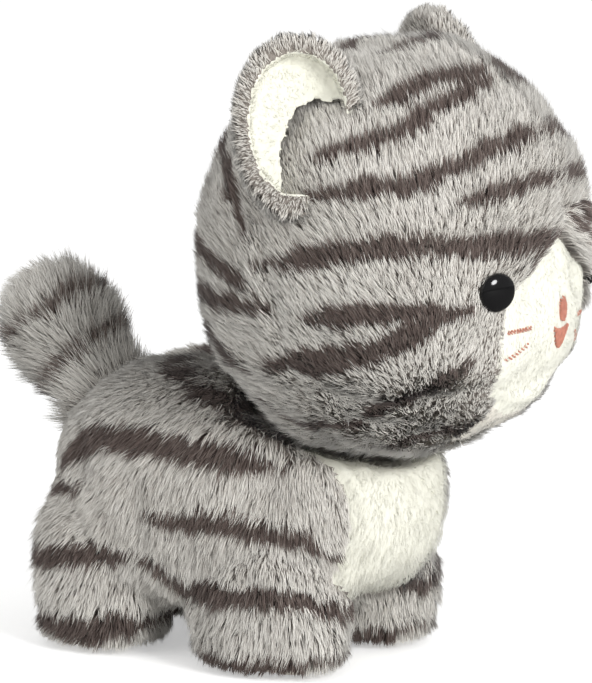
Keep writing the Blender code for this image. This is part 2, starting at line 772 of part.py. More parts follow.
def mouth_outline():
    """A small open smile: a bowed upper edge over a rounded point."""
    point = MOUTH_HEIGHT - MOUTH_LIFT
    middle = (MOUTH_DIP + point) / 2
    outline = []
    for k in range(MOUTH_POINTS):
        angle = 2 * math.pi * k / MOUTH_POINTS
        corner, edge = math.cos(angle) ** 2, math.sin(angle)
        drop = MOUTH_DIP * edge if edge >= 0 else point * abs(edge) ** 3
        outline.append((MOUTH_HALF_WIDTH * math.cos(angle), middle + MOUTH_LIFT * corner - drop))
    return outline


def whisker(name, sign, drop, slant):
    middle = unit(face_direction(sign * WHISKER_SIDE, drop))
    right = unit(np.cross((0, 0, 1), -middle))
    up = np.cross(-middle, right)
    along = math.cos(slant) * right + sign * math.sin(slant) * up
    curve = bpy.data.curves.new(name, "CURVE")
    curve.dimensions = "3D"
    curve.bevel_depth = WHISKER_RADIUS
    curve.bevel_resolution = 1
    curve.use_fill_caps = True
    shares = np.linspace(-0.5, 0.5, WHISKER_STEPS)
    spline = curve.splines.new("POLY")
    spline.points.add(len(shares) - 1)
    reach = head_radius(middle[None])[0]
    for point, share in zip(spline.points, shares):
        place = on_head(
            reach * middle + share * WHISKER_LENGTH * along, STITCH_LIFT + WHISKER_RADIUS
        )
        point.co = (*place, 1)
    made = bpy.data.objects.new(name, curve)
    bpy.context.scene.collection.objects.link(made)
    return made


def stitched_pieces():
    oval = superellipse(NOSE_HALF_WIDTH, NOSE_HALF_HEIGHT, NOSE_FULLNESS, NOSE_POINTS)
    pieces = {
        "nose_stitching": stitched_pad("nose_stitching", face_direction(0, NOSE_DROP), oval),
        "mouth_stitching": stitched_pad(
            "mouth_stitching", face_direction(0, MOUTH_DROP), mouth_outline(), MOUTH_PULL
        ),
    }
    for side, sign in SIDES.items():
        for row, drop in WHISKER_DROPS.items():
            name = f"whisker_{side}_{row}"
            pieces[name] = whisker(name, sign, drop, WHISKER_SLANTS[row])
    return pieces


# Ears
def ear_frame(sign):
    """Middle of the ear's cup, the way it faces, its seat on the head and the axis that it folds about."""
    level = math.cos(EAR_RISE)
    direction = np.array(
        [sign * level * math.sin(EAR_SIDE), -level * math.cos(EAR_SIDE), math.sin(EAR_RISE)]
    )
    seat = on_head(direction)
    middle = on_head(direction, EAR_STANDOFF)
    facing = np.array(
        [
            sign * math.cos(EAR_TILT) * math.sin(EAR_FACING),
            -math.cos(EAR_TILT) * math.cos(EAR_FACING),
            math.sin(EAR_TILT),
        ]
    )
    fold = unit(np.cross(facing, direction)) * sign
    return middle, facing, seat, fold


def ear_bowl(name, middle, facing, inset):
    up = unit(np.array([0, 0, 1]) - facing[2] * facing)
    across = np.cross(up, facing)
    axes = np.stack([across, up, facing], axis=1)
    halves = np.array([EAR_HALF_WIDTH, EAR_HALF_HEIGHT, EAR_DEPTH]) - inset

    def ear_radius(directions):
        own = directions @ axes
        drawn = np.tile(halves, (len(own), 1))
        drawn[:, 1] += EAR_DROP * np.clip(-own[:, 1], 0, 1)
        return superellipsoid(own, drawn, EAR_FULLNESS)

    return swollen(
        name,
        middle,
        ear_radius,
        EAR_RINGS,
        EAR_SEGMENTS,
        pole=facing,
    )


def ear_front(middle, facing):
    """Everything in front of the ear's rim, cut away to open the cup."""
    profile = [(EAR_RIM, 0), (EAR_RIM, FAR), (FAR, FAR), (FAR, 0)]
    return turned("front", profile, middle, facing, EAR_SEGMENTS)


def ear_pieces(sign, side):
    middle, facing, seat, fold = ear_frame(sign)
    layers = (("back", 0.0, CLOTH), ("lining", CLOTH + SEAM_GAP, EAR_LINING))
    paths = []
    for angle in (-EAR_FOLD, 0, EAR_FOLD):
        path = head_form("path", EAR_GAP)
        turn = Matrix.Rotation(angle, 4, Vector(fold))
        path.data.transform(Matrix.Translation(seat) @ turn @ Matrix.Translation(-Vector(seat)))
        paths.append(path)
    pieces = {}
    for layer, start, thickness in layers:
        name = f"ear_{side}_{layer}"
        cup = ear_bowl(name, middle, facing, start)
        cup = hollow(name, cup, ear_bowl("scoop", middle, facing, start + thickness))
        cup = shaped(cup, ear_front(middle, facing), "DIFFERENCE")
        for path in paths:
            cup = shaped(cup, path, "DIFFERENCE", keep=True)
        pieces[name] = cup
    for path in paths:
        bpy.data.objects.remove(path)
    return pieces


# Assembly
def pivot(name, place, parent=None, set_to=((0, 0, 1), 0)):
    """An empty on a joint's axis. Everything hung on it turns about it, and is set to an axis and angle at rest."""
    made = bpy.data.objects.new(name, None)
    made.empty_display_size = PIVOT_MARK
    bpy.context.scene.collection.objects.link(made)
    made.parent = parent
    base = Vector((0, 0, 0)) if parent is None else Vector(parent["place"])
    made.location = Vector(place) - base
    made.rotation_mode = "QUATERNION"
    made.rotation_quaternion = Quaternion(*set_to)
    made["place"] = list(map(float, place))
    return made


def hang(pieces, parent, material):
    """Moves each piece's origin onto its pivot, with the shape left where it is, and gives it its material."""
    place = Vector(parent["place"])
    for piece in pieces:
        piece.data.transform(Matrix.Translation(-place))
        piece.parent = parent
        piece.data.materials.clear()
        piece.data.materials.append(material)
        if piece.type == "MESH":
            piece.data.shade_smooth()
            piece.data.set_sharp_from_angle(angle=CREASE)


def material_name(node):
    if node.endswith("_stuffing"):
        return "fill"
    if node.startswith(("whisker", "nose", "mouth")):
        return "rose"
    if node.endswith("_seam"):
        return "thread"
    if node.startswith("eye_washer"):
        return "washer"
    if node.startswith("eye"):
        return "eye"
    if node.endswith(("_sole", "chin_gusset", "belly_panel")):
        return "sole"
    if node.endswith(("_lining", "face_panel", "chest_panel")):
        return "cream"
    return "tabby"


def middle_of(objects):
    """Middle of the objects' box in X and Y, at its lowest level."""
    graph = bpy.context.evaluated_depsgraph_get()
    points = []
    for obj in objects:
        evaluated = obj.evaluated_get(graph)
        points += [evaluated.matrix_world @ vertex.co for vertex in evaluated.to_mesh().vertices]
        evaluated.to_mesh_clear()
    low, high = np.min(points, axis=0), np.max(points, axis=0)
    return Vector(((low[0] + high[0]) / 2, (low[1] + high[1]) / 2, low[2]))


def build():
    for obj in list(bpy.data.objects):
        bpy.data.objects.remove(obj)
    looks = finishes()
    root = pivot("plush_kitten", (0, 0, 0))
    neck = pivot("neck_pivot", HEAD_CENTRE, root, (NECK_AXIS, HEAD_GLANCE))
    head = pivot("head_pivot", HEAD_CENTRE, neck, ((0, 1, 0), HEAD_COCK))
    tail_root = pivot("tail_root_pivot", tail_frame()[0], root)
    tail = pivot("tail_pivot", tail_frame()[0], tail_root)
    tail_group, tail_root_group = tail_pieces()
    groups = [
        (root, body_pieces() | all_legs()),
        (neck, {"neck_seam": neck_seam()}),
        (head, head_pieces() | eye_pieces() | stitched_pieces()),
        (tail_root, tail_root_group),
        (tail, tail_group),
    ]
    for side, sign in SIDES.items():
        ear = pivot(f"ear_{side}_pivot", ear_frame(sign)[2], head)
        groups.append((ear, ear_pieces(sign, side)))
    made = []
    for parent, pieces in groups:
        for name, piece in pieces.items():
            piece.name = name
            hang([piece], parent, looks[material_name(name)])
            made.append(piece)
    bpy.context.view_layer.update()
    root.location = -middle_of(made)
    bpy.context.view_layer.update()


build()
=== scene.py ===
"""Looks of a standing plush kitten: long grey tabby pile, cream short-pile face and chest, cupped ears."""
import json
import math

import bmesh
import bpy
import numpy as np
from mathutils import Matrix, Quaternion, Vector
from mathutils.bvhtree import BVHTree
from mathutils.kdtree import KDTree


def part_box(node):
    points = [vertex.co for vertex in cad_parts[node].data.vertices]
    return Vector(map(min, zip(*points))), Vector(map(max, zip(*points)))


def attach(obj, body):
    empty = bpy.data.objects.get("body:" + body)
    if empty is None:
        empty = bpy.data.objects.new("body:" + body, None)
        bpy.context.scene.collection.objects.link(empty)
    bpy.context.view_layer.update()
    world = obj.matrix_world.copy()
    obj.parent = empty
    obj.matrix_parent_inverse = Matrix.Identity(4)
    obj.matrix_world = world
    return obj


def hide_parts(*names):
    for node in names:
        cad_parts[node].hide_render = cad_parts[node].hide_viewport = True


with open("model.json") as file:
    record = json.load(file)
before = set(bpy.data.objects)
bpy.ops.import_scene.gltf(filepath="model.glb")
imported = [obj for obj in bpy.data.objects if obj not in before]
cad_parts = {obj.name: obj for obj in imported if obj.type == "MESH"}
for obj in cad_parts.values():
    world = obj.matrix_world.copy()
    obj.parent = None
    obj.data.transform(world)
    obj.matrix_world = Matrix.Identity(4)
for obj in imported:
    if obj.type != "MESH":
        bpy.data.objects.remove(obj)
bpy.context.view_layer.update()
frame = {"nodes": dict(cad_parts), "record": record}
nodes = frame["nodes"]


# Studio. The toy stands on a pale sweep of paper under a round softbox to the right of the camera, with
# a wide fill on the left, in front of white. The camera looks at its right front quarter from a little
# above.
LEGS = [f"{end}_{side}" for end in ("front", "rear") for side in ("left", "right")]
FEET = sum((Vector(corner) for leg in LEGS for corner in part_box(f"{leg}_sole")), Vector()) / (2 * len(LEGS))
FEET.z = 0  # the floor under the middle of the four feet
AIM = FEET + Vector((0.002225, -0.024503, 0.1037))
CAMERA_PLACE = FEET + Vector((-1.682915, -1.112563, 0.48176))
CAMERA_LENS = 325.7
FLOOR_HALF = 4.0
WORLD_LIGHT, WORLD_MIRRORED, PAPER_GLOW = 0.62, 0.3, 0.42


def paint(red, green, blue):
    """A colour as a paint shop mixes it on screen (0 to 255), in the linear light that shaders use."""
    mixed = (red, green, blue)
    return tuple(((c / 255 + 0.055) / 1.055) ** 2.4 if c > 10 else c / 3294.6 for c in mixed) + (1,)


def link_object(name, data):
    made = bpy.data.objects.new(name, data)
    bpy.context.scene.collection.objects.link(made)
    return made


def new_material(name):
    made = bpy.data.materials.new(name)
    made.use_nodes = True
    return made, made.node_tree.nodes, made.node_tree.links


def soft_light(name, direction, distance, size, power):
    lamp = bpy.data.lights.new(name, "AREA")
    lamp.shape, lamp.size, lamp.energy = "DISK", size, power
    holder = link_object(name, lamp)
    holder.location = AIM + Vector(direction).normalized() * distance
    holder.rotation_euler = (AIM - holder.location).to_track_quat("-Z", "Y").to_euler()


bpy.context.scene.view_settings.view_transform = "Standard"
soft_light("round_softbox", (-0.35, -0.84, 0.41), 1.4, 0.5, 13.5)
soft_light("wide_fill", (-0.9, 0.6, 0.55), 1.8, 1.4, 6.0)

camera = link_object("camera", bpy.data.cameras.new("camera"))
camera.data.lens, camera.data.sensor_width = CAMERA_LENS, 36
camera.location = CAMERA_PLACE
camera.rotation_euler = (AIM - CAMERA_PLACE).to_track_quat("-Z", "Y").to_euler()
bpy.context.scene.camera = camera

sweep = bpy.data.meshes.new("paper_sweep")
sweep.from_pydata([(x * FLOOR_HALF, y * FLOOR_HALF, 0) for x, y in ((-1, -1), (1, -1), (1, 1), (-1, 1))], [],
                  [(0, 1, 2, 3)])
paper, n, wire = new_material("pale_paper")
n["Principled BSDF"].inputs["Roughness"].default_value = 0.9
grain = n.new("ShaderNodeTexNoise")
grain.inputs["Scale"].default_value = 900
fibre = n.new("ShaderNodeValToRGB")
fibre.color_ramp.elements[0].color = paint(246, 246, 245)
fibre.color_ramp.elements[1].color = paint(252, 252, 251)
wire.new(grain.outputs["Fac"], fibre.inputs["Fac"])
path, glow, dulled = n.new("ShaderNodeLightPath"), n.new("ShaderNodeMath"), n.new("ShaderNodeMix")
glow.operation, glow.inputs[1].default_value = "MULTIPLY", PAPER_GLOW
wire.new(path.outputs["Is Camera Ray"], glow.inputs[0])
dulled.data_type, dulled.inputs["B"].default_value = "RGBA", paint(114, 114, 113)
wire.new(path.outputs["Is Glossy Ray"], dulled.inputs["Factor"])
wire.new(fibre.outputs["Color"], dulled.inputs["A"])
wire.new(dulled.outputs["Result"], n["Principled BSDF"].inputs["Base Color"])
n["Principled BSDF"].inputs["Emission Color"].default_value = (1, 1, 1, 1)
wire.new(glow.outputs[0], n["Principled BSDF"].inputs["Emission Strength"])
sweep.materials.append(paper)
link_object("paper_sweep", sweep)

world = bpy.data.worlds.new("white_room")
world.use_nodes = True
bpy.context.scene.world = world
n, wire = world.node_tree.nodes, world.node_tree.links
path, seen = n.new("ShaderNodeLightPath"), n.new("ShaderNodeMath")
seen.operation = "MAXIMUM"
wire.new(path.outputs["Is Camera Ray"], seen.inputs[0])
wire.new(path.outputs["Is Transmission Ray"], seen.inputs[1])
lit, level = n.new("ShaderNodeMapRange"), n.new("ShaderNodeMapRange")
lit.inputs["To Min"].default_value, lit.inputs["To Max"].default_value = WORLD_LIGHT, 1.0
wire.new(seen.outputs[0], lit.inputs["Value"])
level.inputs["To Max"].default_value = WORLD_MIRRORED
wire.new(path.outputs["Is Glossy Ray"], level.inputs["Value"])
wire.new(lit.outputs["Result"], level.inputs["To Min"])
n["Background"].inputs["Color"].default_value = (1, 1, 1, 1)
wire.new(level.outputs["Result"], n["Background"].inputs["Strength"])


# Body. Two striped side panels, a cream chest panel, a belly panel and four stubby leg covers with flat
# soles, cut from pile cloth, sewn together inside out, turned and stuffed hard with polyester fibre.
BODY_PANELS = (["body_side_left", "body_side_right", "chest_panel", "belly_panel"]
               + [f"{leg}_leg" for leg in LEGS] + [f"{leg}_sole" for leg in LEGS])
BODY_FILL = ["body_stuffing"] + [f"{leg}_leg_stuffing" for leg in LEGS]
LONG_PILE_DEPTH, SHORT_PILE_DEPTH = 0.0014, 0.0003
COARSE_CLOTH, SEAM_REACH = 0.0040, 0.0035
SEAM_GROOVE, SWELL_ROOM = 0.0020, 0.0016
PRESSURE, SPARE_CLOTH, SWELL_STEPS = 4.0, 0.05, 20
FLOOR_CLEAR = 0.0002
SHOWN_SHARE = 0.5  # of a strand's length, from its root to the middle of what shows of it
MOST_STRANDS = 38000  # in one cut of pile
ROOT_SINK, SWIRL_SIZE = 0.0004, 0.022


def settle(cloth):
    """Replaces a piece's mesh by what its modifiers make of it."""
    made = bpy.data.meshes.new_from_object(cloth.evaluated_get(bpy.context.evaluated_depsgraph_get()))
    cloth.modifiers.clear()
    cloth.data = made


def mesh_points(mesh):
    flat = np.empty(len(mesh.vertices) * 3)
    mesh.vertices.foreach_get("co", flat)
    return flat.reshape(-1, 3)


def mesh_normals(mesh):
    flat = np.empty(len(mesh.vertices) * 3)
    mesh.vertex_normals.foreach_get("vector", flat)
    return flat.reshape(-1, 3)


def drop_inner_shells(mesh):
    """Keeps the outer skin of a remeshed group and drops the small shells inside it."""
    work = bmesh.new()
    work.from_mesh(mesh)
    left, shells = set(work.verts), []
    while left:
        edge = [left.pop()]
        shell = list(edge)
        while edge:
            edge = [v for at in edge for e in at.link_edges for v in e.verts
                    if v in left and not left.discard(v)]
            shell += edge
        shells.append(shell)
    outer = max(shells, key=len)
    inner = [v for shell in shells if shell is not outer for v in shell]
    bmesh.ops.delete(work, geom=inner, context="VERTS")
    work.to_mesh(mesh)
    work.free()


def even_skin(name, solids, cell, rounds):
    """One even closed skin round the named solids, as a cloth cover lies over them."""
    points, faces = [], []
    for solid in solids:
        at = nodes[solid].matrix_world
        start = len(points)
        points += [at @ v.co for v in nodes[solid].data.vertices]
        faces += [[start + i for i in p.vertices] for p in nodes[solid].data.polygons]
    mesh = bpy.data.meshes.new(name)
    mesh.from_pydata(points, [], faces)
    skin = link_object(name, mesh)
    even = skin.modifiers.new("even", "REMESH")
    even.mode, even.voxel_size = "VOXEL", cell
    soft = skin.modifiers.new("soft", "SMOOTH")
    soft.factor, soft.iterations = 0.5, rounds
    settle(skin)
    drop_inner_shells(skin.data)
    return skin


def surface_tree(mesh):
    return BVHTree.FromPolygons([v.co for v in mesh.vertices], [p.vertices[:] for p in mesh.polygons])


def panel_reach(points, panels):
    """How far each point is from each panel, in metres."""
    trees = [surface_tree(nodes[panel].data) for panel in panels]
    return np.array([[tree.find_nearest(Vector(p))[3] for tree in trees] for p in points])


def seam_nearness(reach):
    """1 on a seam between two panels, falling to 0 a little way off."""
    if reach.shape[1] < 2:
        return np.zeros(len(reach))
    two = np.sort(reach, axis=1)[:, :2]
    return np.clip(1 - (two[:, 1] - two[:, 0]) / SEAM_REACH, 0, 1)


def stuffed(name, panels, fill, depths, cell=COARSE_CLOTH, rounds=6, fixed=(), fixed_reach=0.012):
    """Sews the panels' skin, sinks it by the depth of each panel's pile, and stuffs it until it swells
    between its seams, which are held. Round a fixed node, such as an eye, the cloth is pulled up to it."""
    skin = even_skin(name, panels + fill, cell, rounds)
    points, facing = mesh_points(skin.data), mesh_normals(skin.data)
    reach = panel_reach(points, panels)
    seam = seam_nearness(reach)
    depth = np.array([depths[p] for p in panels])[reach.argmin(axis=1)]
    start = points - facing * (depth + SWELL_ROOM + seam * (SEAM_GROOVE - SWELL_ROOM))[:, None]
    skin.data.vertices.foreach_set("co", start.ravel())
    held = skin.vertex_groups.new(name="seams")
    for i, share in enumerate(seam):
        held.add([i], float(share), "REPLACE")
    cloth = skin.modifiers.new("stuffing", "CLOTH")
    cloth.settings.vertex_group_mass = held.name
    cloth.settings.use_pressure, cloth.settings.uniform_pressure_force = True, PRESSURE
    cloth.settings.shrink_min = -SPARE_CLOTH
    cloth.settings.effector_weights.gravity = 0
    cloth.point_cache.frame_end = SWELL_STEPS
    for step in range(1, SWELL_STEPS + 1):
        bpy.context.scene.frame_set(step)
    settle(skin)
    bpy.context.scene.frame_set(1)
    moved = mesh_points(skin.data) - start
    far = np.linalg.norm(moved, axis=1, keepdims=True)
    swollen = start + moved * np.minimum(1, SWELL_ROOM / np.maximum(far, 1e-9))
    for node in fixed:
        away = panel_reach(points, [node])
        hold = np.clip(1.4 - 1.4 * away / fixed_reach, 0, 1)
        swollen += (points - swollen) * hold * hold * (3 - 2 * hold)
    skin.data.vertices.foreach_set("co", swollen.ravel())
    skin.vertex_groups.clear()
    fine = skin.modifiers.new("fine", "SUBSURF")
    fine.levels = fine.render_levels = 1
    settle(skin)
    for face in skin.data.polygons:
        face.use_smooth = True
    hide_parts(*panels, *fill)
    return skin


def backing_material(name, dark, light, scale, rough):
    """The knitted backing at the roots of the pile: fine loops, with fibre fuzz in its bump."""
    cloth, n, wire = new_material(name)
    shader = n["Principled BSDF"]
    kinds = ("TexCoord", "TexNoise", "ValToRGB", "Bump")
    place, loops, shade, bump = (n.new(f"ShaderNode{kind}") for kind in kinds)
    loops.inputs["Scale"].default_value, loops.inputs["Detail"].default_value = scale, 6
    shade.color_ramp.elements[0].position, shade.color_ramp.elements[1].position = 0.3, 0.7
    shade.color_ramp.elements[0].color, shade.color_ramp.elements[1].color = dark, light
    bump.inputs["Strength"].default_value, bump.inputs["Distance"].default_value = rough, 0.0006
    wire.new(place.outputs["Object"], loops.inputs["Vector"])
    wire.new(loops.outputs["Fac"], shade.inputs["Fac"])
    wire.new(loops.outputs["Fac"], bump.inputs["Height"])
    wire.new(shade.outputs["Color"], shader.inputs["Base Color"])
    wire.new(bump.outputs["Normal"], shader.inputs["Normal"])
    shader.inputs["Roughness"].default_value = 0.9
    shader.inputs["Sheen Weight"].default_value = 0.2
    return cloth


def pile_material(name, root, tip):
    """Dyed pile: its colour runs from root to tip, darker at the root partly by dye and partly as painted
    shade deep in the pile, and u picks the strand's shade from the dye lot.
    """
    pile, n, wire = new_material(name)
    shader = n["Principled BSDF"]
    kinds = ("UVMap", "SeparateXYZ", "ValToRGB", "ValToRGB")
    dye, parts, roots, tips = (n.new(f"ShaderNode{kind}") for kind in kinds)
    along, mix = n.new("ShaderNodeValToRGB"), n.new("ShaderNodeMix")
    dye.uv_map, mix.data_type = "Dye", "RGBA"
    for ramp, shades in ((roots, root), (tips, tip)):
        stops = ramp.color_ramp.elements
        while len(stops) < len(shades):
            stops.new(0.5)
        for stop, (at, colour) in zip(stops, shades):
            stop.position, stop.color = at, colour
    along.color_ramp.elements[0].position, along.color_ramp.elements[1].position = 0.2, 0.8
    wire.new(dye.outputs["UV"], parts.inputs["Vector"])
    wire.new(parts.outputs["X"], roots.inputs["Fac"])
    wire.new(parts.outputs["X"], tips.inputs["Fac"])
    wire.new(parts.outputs["Y"], along.inputs["Fac"])
    wire.new(along.outputs["Color"], mix.inputs["Factor"])
    wire.new(roots.outputs["Color"], mix.inputs["A"])
    wire.new(tips.outputs["Color"], mix.inputs["B"])
    wire.new(mix.outputs["Result"], shader.inputs["Base Color"])
    shader.inputs["Roughness"].default_value = 0.7
    shader.inputs["Specular IOR Level"].default_value = 0.25
    shader.inputs["Sheen Weight"].default_value = 0.15
    return pile


def unit(rows):
    return rows / np.maximum(np.linalg.norm(rows, axis=1, keepdims=True), 1e-9)


def scatter(skin, density, chance, keep=None):
    """Points spread evenly by area over a skin, with its facing there and the share of each corner."""
    mesh = skin.data
    mesh.calc_loop_triangles()
    corners = np.empty(len(mesh.loop_triangles) * 3, int)
    mesh.loop_triangles.foreach_get("vertices", corners)
    corners = corners.reshape(-1, 3)
    if keep is not None:
        corners = corners[keep[corners].any(axis=1)]
    points, facing = mesh_points(mesh), mesh_normals(mesh)
    a, b, c = (points[corners[:, i]] for i in range(3))
    area = np.linalg.norm(np.cross(b - a, c - a), axis=1) / 2
    count = int(area.sum() * density)
    pick = corners[chance.choice(len(corners), count, p=area / area.sum())]
    out, turn = np.sqrt(chance.random(count)), chance.random(count)
    share = np.stack([1 - out, out * (1 - turn), out * turn], axis=1)
    place = np.einsum("sk,skd->sd", share, points[pick])
    return place, unit(np.einsum("sk,skd->sd", share, facing[pick])), pick, share


def lay_pile(name, place, facing, comb, length, shade, chance, *, width, lean, wander, clump, clump_hold,
             material, body, swirl=0.0, smooth=0.85):
    """Strands of pile as slim bent blades with a three-sided tip: each rises from its root, bends over
    along the nap and closes up with its neighbours into locks."""
    count = len(place)
    nap = unit(comb - facing * np.einsum("sd,sd->s", comb, facing)[:, None])
    across = np.cross(nap, facing)
    turn = (chance.normal(0, wander, count) + swirl * rolling_noise(place, SWIRL_SIZE, chance))[:, None]
    nap = unit(nap * np.cos(turn) + across * np.sin(turn))
    root_lean, tip_lean = (np.clip(chance.normal(a, 9, count), 0, 84) * math.pi / 180 for a in lean)
    length = length * np.clip(chance.normal(1, 0.16, count), 0.5, 1.4)
    half = (length / 2)[:, None]
    root = place - facing * ROOT_SINK
    bend = place + half * (facing * np.cos(root_lean)[:, None] + nap * np.sin(root_lean)[:, None])
    tip = bend + half * (facing * np.cos(tip_lean)[:, None] + nap * np.sin(tip_lean)[:, None])
    if clump_hold:
        locks = chance.choice(count, max(8, int(count / clump)), replace=False)
        tree = KDTree(len(locks))
        for i in locks:
            tree.insert(place[i], int(i))
        tree.balance()
        lock = np.array([tree.find(p)[1] for p in place])
        hold = clump_hold * np.clip(chance.normal(1, 0.35, count), 0, 1.5)[:, None]
        tip = tip + (tip[lock] - tip) * hold
        bend = bend + (bend[lock] - bend) * hold * 0.35
    along = unit(tip - root)
    across = unit(np.cross(along, facing))
    roll = chance.normal(0, 0.4, count)[:, None]
    across = across * np.cos(roll) + np.cross(along, across) * np.sin(roll)
    front = np.cross(across, along)
    half_width = (width * np.clip(chance.normal(1, 0.2, count), 0.6, 1.5) / 2)[:, None]
    side = across * half_width
    points = np.stack([root - side, root + side, bend + side * 0.9, bend - side * 0.9,
                       bend - front * half_width, tip], axis=1)
    points[..., 2] = np.maximum(points[..., 2], FLOOR_CLEAR)
    flow = unit(facing * smooth + front * (1 - smooth) + chance.normal(0, 0.6 * (1 - smooth), (count, 3)))
    shade = np.clip(shade, 0.01, 0.99)
    cuts = np.array_split(np.argsort(place[:, 2]), math.ceil(count / MOST_STRANDS))
    for k, cut in enumerate(cuts):
        cut_name = name if len(cuts) == 1 else f"{name}_{k + 1}"
        piece = strand_mesh(cut_name, points[cut], flow[cut], shade[cut])
        piece.data.materials.append(material)
        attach(piece, body)


def strand_mesh(name, points, flow, shade):
    """One mesh of strands. Its u holds each strand's shade and its v runs from root to tip."""
    count = len(points)
    faces = np.array([0, 1, 2, 3, 3, 2, 5, 2, 4, 5, 4, 3, 5])
    starts = np.array([0, 4, 7, 10])
    first = np.arange(count)
    mesh = bpy.data.meshes.new(name)
    mesh.vertices.add(count * 6)
    mesh.vertices.foreach_set("co", points.ravel())
    mesh.loops.add(count * 13)
    mesh.polygons.add(count * 4)
    mesh.polygons.foreach_set("loop_start", (starts[None] + 13 * first[:, None]).ravel())
    mesh.loops.foreach_set("vertex_index", (faces[None] + 6 * first[:, None]).ravel())
    mesh.polygons.foreach_set("use_smooth", np.ones(count * 4, bool))
    mesh.update(calc_edges=True)
    mesh.normals_split_custom_set_from_vertices(np.repeat(flow, 6, axis=0))
    side = np.array([-1, 1, 1, -1, 0, 0])[faces] * 0.006
    rise = np.array([0.02, 0.02, 0.5, 0.5, 0.5, 0.98])[faces]
    spots = np.stack([(shade[:, None] + side[None]).ravel(), np.tile(rise, count)], axis=1).ravel()
    for layer in ("Dye", "OFBake"):
        mesh.uv_layers.new(name=layer).data.foreach_set("uv", spots)
    return link_object(name, mesh)


def shows_at(place, facing, comb, length):
    """Where the outer half of each strand shows, downstream of its root along the nap."""
    nap = unit(comb - facing * np.einsum("sd,sd->s", comb, facing)[:, None])
    return place + nap * length[:, None] * SHOWN_SHARE


class Stripes:
    """Dark stripes dyed into the cloth: each is a half width and a line of points, tapered at its ends."""

    def __init__(self, lines, project, step=0.0008):
        spots = []
        for half, points in lines:
            path = [np.array(p, float) for p in points]
            lengths = [(project(q) - project(p)).length for p, q in zip(path, path[1:])]
            total, done = sum(lengths), 0
            for p, q, far in zip(path, path[1:], lengths):
                for t in np.arange(0, 1, step / far):
                    at = (done + t * far) / total
                    spots.append((project(p + (q - p) * t), half * min(1, 0.25 + 4 * min(at, 1 - at))))
                done += far
        self.halves = np.array([half for _, half in spots])
        self.tree = KDTree(len(spots))
        for i, (spot, _) in enumerate(spots):
            self.tree.insert(spot, i)
        self.tree.balance()

    def inside(self, keys):
        """How far inside the nearest stripe's edge each key lies, in metres."""
        found = [self.tree.find(k) for k in keys]
        return self.halves[[f[1] for f in found]] - np.array([f[2] for f in found])


def rolling_noise(points, size, chance, waves=24):
    """A smooth random field over the points, about -1 to 1, with humps of the given size."""
    push = chance.normal(0, 2.2 / size, (waves, 3))
    swell = np.cos(points @ push.T + chance.uniform(0, 2 * math.pi, waves)).sum(axis=1)
    return swell * math.sqrt(2 / waves) / 1.6


def tabby_shade(place, inside, chance, light=0.2, dark=0.78, edge=0.0006):
    """Each strand's shade: pale grey with a few dark strands, and dark brown-grey inside the stripes."""
    waver = rolling_noise(place, 0.006, chance) * 0.0009 + chance.normal(0, edge, len(place))
    striped = inside + waver > 0
    pale = light + chance.normal(0, 0.06, len(place)) + rolling_noise(place, 0.012, chance) * 0.05
    pale = np.where(chance.random(len(place)) < 0.10, pale + 0.22, pale)
    return np.where(striped, dark + chance.normal(0, 0.07, len(place)), pale)


body_depths = {panel: LONG_PILE_DEPTH for panel in BODY_PANELS}
body_depths["chest_panel"] = SHORT_PILE_DEPTH
body_depths.update({f"{leg}_sole": SHORT_PILE_DEPTH for leg in LEGS})
body_skin = stuffed("body_cover", BODY_PANELS, BODY_FILL, body_depths)
# The grey backing is darker than the pile, partly its own colour and partly painted shade in the gaps between
# strands.
grey_backing = backing_material("grey_backing", paint(122, 114, 107), paint(154, 147, 139), 1500, 0.5)
cream_backing = backing_material("cream_backing", paint(231, 230, 217), paint(236, 235, 222), 1200, 0.1)
sole_backing = backing_material("sole_backing", paint(206, 201, 190), paint(226, 221, 210), 1200, 0.3)
for cloth in (grey_backing, cream_backing, sole_backing):
    body_skin.data.materials.append(cloth)
body_reach = panel_reach(mesh_points(body_skin.data), BODY_PANELS)
body_panel = body_reach.argmin(axis=1)
CHEST, SOLES = BODY_PANELS.index("chest_panel"), [BODY_PANELS.index(f"{leg}_sole") for leg in LEGS]
for face in body_skin.data.polygons:
    panel = body_panel[face.vertices[0]]
    face.material_index = 1 if panel == CHEST else 2 if panel in SOLES else 0
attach(body_skin, "torso")

# Long pile of the body and legs. Grey acrylic fur about 7 mm long on the striped panels, combed down the
# flanks and legs and back along the spine, so that it lies over the seams and hides them.
BODY_PILE_LENGTH, BODY_PILE_DENSITY = 0.0074, 4.2e6
FLANK_STRIPES = [  # half width, then (y, z) along the stripe, in metres from the middle of the feet
    (0.0040, [(0.045, 0.058), (0.039, 0.064), (0.023, 0.073), (-0.007, 0.073), (-0.046, 0.069)]),
    (0.0018, [(0.024, 0.095), (0.009, 0.092), (-0.012, 0.087), (-0.036, 0.081), (-0.063, 0.072)]),
    (0.0020, [(0.053, 0.049), (0.026, 0.057)]),
    (0.0035, [(0.002, 0.051), (-0.008, 0.049), (-0.023, 0.051), (-0.052, 0.047), (-0.062, 0.040)]),
    (0.0037, [(0.055, 0.028), (0.049, 0.029), (0.011, 0.036)]),
    (0.0036, [(0.007, 0.035), (-0.010, 0.025), (-0.038, 0.026), (-0.053, 0.026), (-0.060, 0.017)]),
    (0.0042, [(0.052, 0.009), (0.046, 0.008), (0.031, 0.007), (0.012, 0.012)]),
    (0.0030, [(-0.012, 0.006), (-0.029, 0.003), (-0.048, 0.004), (-0.056, 0.007)]),
]
flank_stripes = Stripes(FLANK_STRIPES, lambda p: Vector((p[0] + FEET.y, p[1], 0)))
# The roots are darker than the tips, partly by dye and partly as painted shade deep in the pile.
TABBY_ROOTS = [(0, paint(184, 177, 168)), (0.25, paint(158, 150, 142)), (0.5, paint(110, 99, 92)),
               (0.75, paint(74, 62, 58)), (1, paint(44, 36, 35))]
